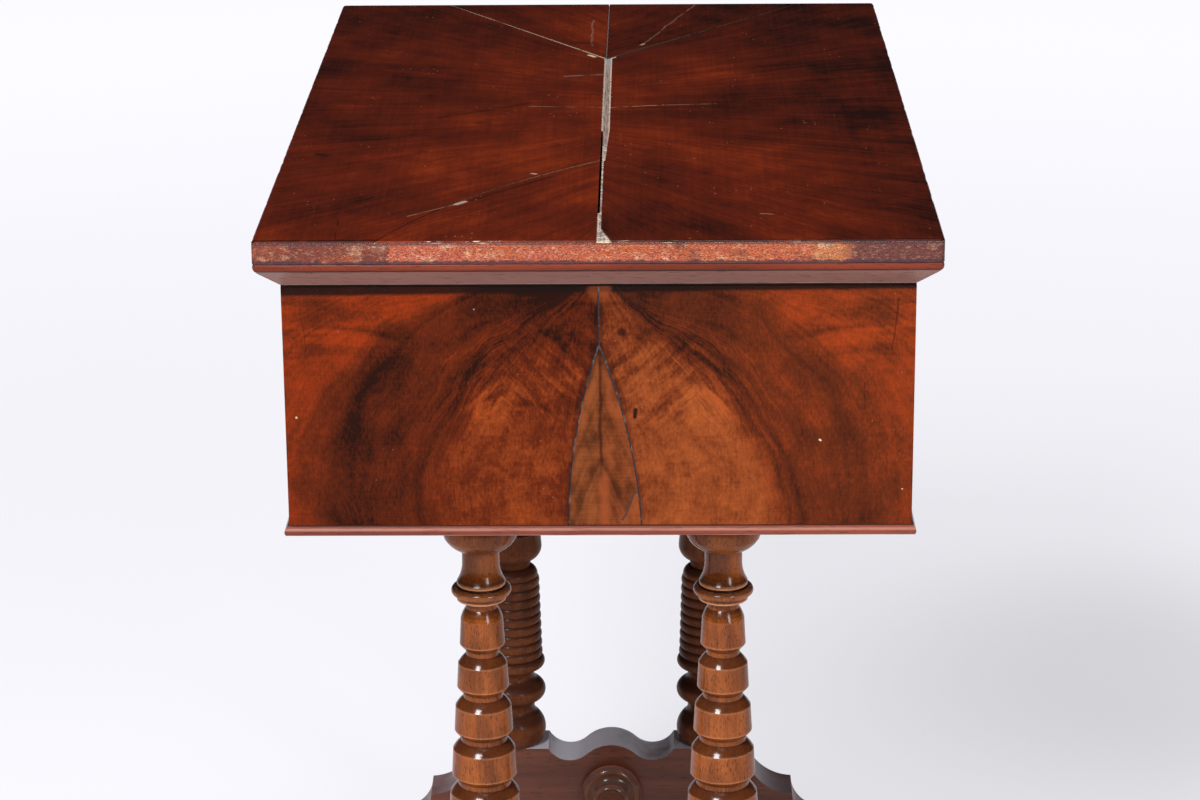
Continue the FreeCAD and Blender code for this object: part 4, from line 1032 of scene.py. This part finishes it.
def paint_case_end(tree, position, facing):
    """Pale inside, old glue and dirt behind the veneer, polish on the front and back edges."""
    look = bpy.context.scene.case_finish
    x, y, z = position.split()
    filled = position.noise((1, 170, 90), detail=4, rough=0.65)
    stripes = position.noise((300, 1, 14), detail=4, rough=0.6)
    joint = tree.mix(filled.fade(0.48, 0.66), look.crack, look.putty)
    # painted shadow with dirt at the top of the joints, under the lid
    joint = joint.mix(z.fade(VENEER_TOP - 0.0006, VENEER_TOP - 0.0002), look.grime_and_shade)
    edge = abs(y).fade(CASE_HIGH.y - 0.002, CASE_HIGH.y - 0.001) * abs(facing.split()[1]).fade(0.5, 0.8)
    colour, *rest = paint_board(bpy.context.scene.plain_finish.inner, "y", 0.5)(tree, position, facing)
    colour = colour.over(
        (abs(x).fade(CASE_HIGH.x - 0.003, CASE_HIGH.x - 0.002), joint),
        (edge, tree.mix(stripes.fade(0.35, 0.65), look.between, look.corner)),
    )
    return colour, *rest


class InsideOperator(Operator):
    """Pale wood of the well, the drawer and the insides of the case"""
    bl_idname = "work_table.insides"
    bl_label = "Inside wood"

    def execute(self, context):
        soft = context.scene.wear_settings.soft
        fixed = named("well_divider", "well_short", "drawer_runner", "drawer_stops")
        soften("stand", "inner_wood", soft, *fixed)
        soften("drawer", "inner_wood", soft, *named("drawer_side", "drawer_back"))
        for axis, starts in (
            ("x", ("well_floor", "well_short", "drawer_back", "drawer_bottom", "drawer_stops")),
            ("y", ("well_divider", "drawer_side", "drawer_runner")),
        ):
            paint = paint_board(context.scene.plain_finish.inner, axis, 0.5)
            dress(finish(f"inner_wood_{axis}", paint, specular=0.2), *named(*starts))
        dress(finish("case_end_wood", paint_case_end, specular=0.15), *named("case_end"))
        return {"FINISHED"}


# Metal
def paint_metal(base):
    """Stained metal with old oil in its corners."""
    def paint(tree, position, facing):
        stains = position.noise(220, detail=4, rough=0.6)
        worn = edge_wear(position, Reach=0.0012, Depth=0.004)
        colour = tree.mix(stains.fade(0.4, 0.65), base, lit(base, 0.35)).mix(worn["Hollow"] * 0.8, OLD_OIL)
        return colour, 0.25 + stains * 0.3, stains, 0.00008
    return paint


def screw_places(node, heads_up):
    """Middle of the head of each screw in a CAD piece, and the height and head radius of one."""
    shape = joined_copy(node)
    places, seen = [], set()
    for first in shape.verts:
        if first in seen:
            continue
        seen.add(first)
        screw = [first]
        for vert in screw:
            fresh = [edge.other_vert(vert) for edge in vert.link_edges if edge.other_vert(vert) not in seen]
            seen.update(fresh)
            screw.extend(fresh)
        low, high = (
            Vector([pick(vert.co[axis] for vert in screw) for axis in range(3)]) for pick in (min, max)
        )
        middle = (low + high) / 2
        places.append(Vector((middle.x, middle.y, high.z if heads_up else low.z)))
    height, head = high.z - low.z, (high.x - low.x) / 2
    shape.free()
    return places, height, head


def screw_tree():
    """Slotted countersunk screws on the points of a mesh, each slot turned its own way."""
    group = bpy.data.node_groups.new("Slotted screws", "GeometryNodeTree")
    for title, kind in (
        ("Points", "Geometry"), ("Head Radius", "Float"), ("Length", "Float"), ("Slot Width", "Float"),
        ("Flip", "Float"), ("Seed", "Int"), ("Metal", "Material"),
    ):
        group.interface.new_socket(title, in_out="INPUT", socket_type=f"NodeSocket{kind}")
    group.interface.new_socket("Screws", in_out="OUTPUT", socket_type="NodeSocketGeometry")
    tree = Nodes(group)
    given = {socket.name: Value(tree, socket) for socket in tree.add("NodeGroupInput").outputs}
    head, length = given["Head Radius"], given["Length"]
    shank, sink = head * 0.5, head * 0.6

    def cone(bottom, top, depth, rise):
        sizes = {"Vertices": 24, "Radius Bottom": bottom, "Radius Top": top, "Depth": depth}
        solid = tree.get("GeometryNodeMeshCone", sizes, "Mesh")
        return tree.get("GeometryNodeTransform", {"Geometry": solid, "Translation": tree.join(z=rise)})

    countersunk = cone(shank, head, sink, sink * -1.0)
    stem = cone(shank * 0.25, shank * 0.99, length - sink * 0.5, length * -1.0)
    whole = tree.add("GeometryNodeMeshBoolean", operation="UNION")
    for solid in (countersunk, stem):
        tree.feed(whole.inputs["Mesh 2"], solid)
    across = tree.join(head * 3.0, head * 2.0 * given["Slot Width"], head * 0.5)
    bar = tree.get("GeometryNodeMeshCube", {"Size": across}, "Mesh")
    parts = {"Mesh 1": Value(tree, whole.outputs[0]), "Mesh 2": bar}
    slotted = tree.get("GeometryNodeMeshBoolean", parts, operation="DIFFERENCE")
    turn = tree.get("FunctionNodeRandomValue", {3: math.pi, "Seed": given["Seed"]}, 1, data_type="FLOAT")
    stood = tree.get("GeometryNodeInstanceOnPoints", {
        "Points": given["Points"], "Instance": slotted,
        "Rotation": tree.join(given["Flip"] * math.pi, 0.0, turn),
    })
    solid = tree.get("GeometryNodeRealizeInstances", {"Geometry": stood})
    metal = tree.get("GeometryNodeSetMaterial", {"Geometry": solid, "Material": given["Metal"]})
    tree.add("NodeGroupOutput", {"Screws": metal})
    return group


def screws(tree, node, body, heads_up, metal, wear):
    """Slotted screws in the place of a CAD group of screws."""
    places, length, head = screw_places(node, heads_up)
    points = bpy.data.meshes.new(f"{node}_points")
    points.from_pydata(places, [], [])
    maker = placed(f"slotted_{node}", points)
    modifier = maker.modifiers.new("screws", "NODES")
    modifier.node_group = tree
    values = {
        "Head Radius": head, "Length": length, "Slot Width": wear.slot_width, "Flip": float(not heads_up),
        "Seed": 4, "Metal": metal,
    }
    for item in tree.interface.items_tree:
        if item.in_out == "INPUT" and item.name in values:
            modifier[item.identifier] = values[item.name]
    evaluated = maker.evaluated_get(bpy.context.evaluated_depsgraph_get())
    mesh = bpy.data.meshes.new_from_object(evaluated)
    maker.modifiers.remove(modifier)
    maker.data = mesh
    mesh.set_sharp_from_angle(angle=SCREW_TURN)
    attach(maker, body)
    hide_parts(node)


class MetalOperator(Operator):
    """Brass hinges, pins and slotted screws"""
    bl_idname = "work_table.metal"
    bl_label = "Hinges and screws"

    def execute(self, context):
        wear, plain = context.scene.wear_settings, context.scene.plain_finish
        brass = finish("hinge_brass", paint_metal(plain.brass), metal=1.0)
        steel = finish("screw_steel", paint_metal(plain.steel), metal=1.0)
        dress(brass, *named("hinge_lid_leaf", "hinge_case_leaf", "hinge_pin"))
        tree = screw_tree()
        screws(tree, "hinge_lid_screws", "lid", False, brass, wear)
        screws(tree, "hinge_case_screws", "stand", True, brass, wear)
        screws(tree, "bearer_screws", "stand", True, steel, wear)
        return {"FINISHED"}


# Stage: pale floor, soft lights and the camera
LAMPS = (
    # name, place, target, width and height, watts
    ("overhead", (0.3, -0.2, 3.4), (0, 0, 0.4), (2.4, 2.4), 60),
    ("key_softbox", (2.6, -1.15, 2.8), (0, 0, 0.5), (0.9, 0.9), 150),
    ("fill_softbox", (2.5, 1.6, 1.5), (0, 0, 0.45), (0.6, 0.9), 34),
)
EYE = (2.47067, 0.02920, 1.34151)
PITCH, YAW, ROLL = (math.radians(angle) for angle in (18.2547, -0.7714, 0.4242))
LENS, SENSOR = 105, 36  # millimetres
SIGHT = 100  # metres
# the floor's glow is lowered near the table as painted shade, and in the dim spot as a painted shadow
GLOW_FROM, GLOW_TO = 0.6, 4.0  # where the floor's light starts to rise and where it is full
DIM_PLACE, DIM_SCALE = (-0.72, 0.5), (2.2, 2.4)  # middle and narrowness of the dim spot
ROOM_LIGHT = (0.02, 0.02, 0.022)


def floor_finish(stage):
    """Floor that glows evenly, less near the table as painted shade and in one dim spot beside it as a
    painted shadow.
    """
    material = bpy.data.materials.new("studio_floor")
    material.use_nodes = True
    tree = Nodes(material.node_tree)
    place = tree.get("ShaderNodeTexCoord", out="Object")
    away = tree.vector("LENGTH", place, out="Value")
    near, far = (lit(stage.floor, glow) for glow in (stage.near_glow, stage.far_glow))
    spot = zip(place.split(), DIM_PLACE, DIM_SCALE)
    beside = tree.join(*((run - middle) * scale for run, middle, scale in spot))
    dim = tree.vector("LENGTH", beside, out="Value").fade(1.0, 0.15) * stage.dim
    shader = tree.tree.nodes["Principled BSDF"].inputs
    for name, value in (
        ("Emission Color", tree.mix(away.fade(GLOW_FROM, GLOW_TO), near, far).scaled(1 - dim)),
        ("Emission Strength", 1.0),
        ("Base Color", lit(stage.floor, stage.floor_share)),
        ("Roughness", 0.9),
        ("Specular IOR Level", 0.0),
    ):
        tree.feed(shader[name], value)
    return material


def pale_floor(stage):
    """Round floor under the table."""
    shape = bmesh.new()
    bmesh.ops.create_circle(shape, cap_ends=True, cap_tris=True, segments=stage.segments, radius=stage.radius)
    mesh = bpy.data.meshes.new("studio_floor")
    shape.to_mesh(mesh)
    shape.free()
    mesh.materials.append(floor_finish(stage))
    return placed("studio_floor", mesh)


def soft_light(name, place, target, size, power):
    """Area lamp that the camera doesn't see."""
    lamp = bpy.data.lights.new(name, "AREA")
    lamp.shape = "RECTANGLE"
    lamp.size, lamp.size_y = size
    lamp.energy = power
    light = placed(name, lamp)
    light.location = place
    light.rotation_euler = (Vector(target) - Vector(place)).to_track_quat("-Z", "Y").to_euler()
    light.visible_camera = False


def camera():
    """The photo's view: pitch down, yaw from the table's length, roll about the line of sight."""
    ahead = Vector((-math.cos(YAW) * math.cos(PITCH), math.sin(YAW) * math.cos(PITCH), -math.sin(PITCH)))
    level = Vector((math.sin(YAW), math.cos(YAW), 0))
    down = ahead.cross(level)
    right = math.cos(ROLL) * level + math.sin(ROLL) * down
    up = math.sin(ROLL) * level - math.cos(ROLL) * down
    lens = bpy.data.cameras.new("camera")
    lens.lens, lens.sensor_width, lens.clip_end = LENS, SENSOR, SIGHT
    eye = placed("camera", lens)
    eye.matrix_world = Matrix.Translation(EYE) @ Matrix((right, up, -ahead)).transposed().to_4x4()
    bpy.context.scene.camera = eye


class StageOperator(Operator):
    """Pale floor, soft lights and the camera"""
    bl_idname = "work_table.stage"
    bl_label = "Stage"

    def execute(self, context):
        stage = context.scene.stage_settings
        floor = pale_floor(stage)
        world = bpy.data.worlds.new("studio")
        world.use_nodes = True
        air = Nodes(world.node_tree)
        seen = air.get("ShaderNodeLightPath", out="Is Camera Ray")
        air.feed(air.tree.nodes["Background"].inputs["Color"], air.mix(seen, ROOM_LIGHT, stage.floor))
        context.scene.world = world
        for lamp in LAMPS:
            soft_light(*lamp)
        camera()
        context.scene.view_settings.view_transform = "Standard"
        return {"FINISHED"}


class WorkTablePanel(Panel):
    """Steps that finish the table, in their order"""
    bl_idname = "VIEW3D_PT_work_table"
    bl_label = "Work table"
    bl_space_type = "VIEW_3D"
    bl_region_type = "UI"
    bl_category = "Work table"

    def draw(self, context):
        for operator in OPERATORS:
            self.layout.operator(operator.bl_idname)
        for name, settings in SETTINGS.items():
            box = self.layout.box()
            box.label(text=name.replace("_", " "))
            for field in settings.__annotations__:
                box.prop(getattr(context.scene, name), field)


OPERATORS = (
    LidOperator, MouldingOperator, CaseOperator, TurningOperator, TrestleOperator, InsideOperator,
    MetalOperator, StageOperator,
)


def register():
    for kind in (*SETTINGS.values(), *OPERATORS, WorkTablePanel):
        bpy.utils.register_class(kind)
    for name, settings in SETTINGS.items():
        setattr(bpy.types.Scene, name, PointerProperty(type=settings))


def unregister():
    for name in SETTINGS:
        delattr(bpy.types.Scene, name)
    for kind in reversed((*SETTINGS.values(), *OPERATORS, WorkTablePanel)):
        bpy.utils.unregister_class(kind)


def main():
    register()
    for operator in OPERATORS:
        group, name = operator.bl_idname.split(".")
        getattr(getattr(bpy.ops, group), name)()


if __name__ == "__main__":
    main()
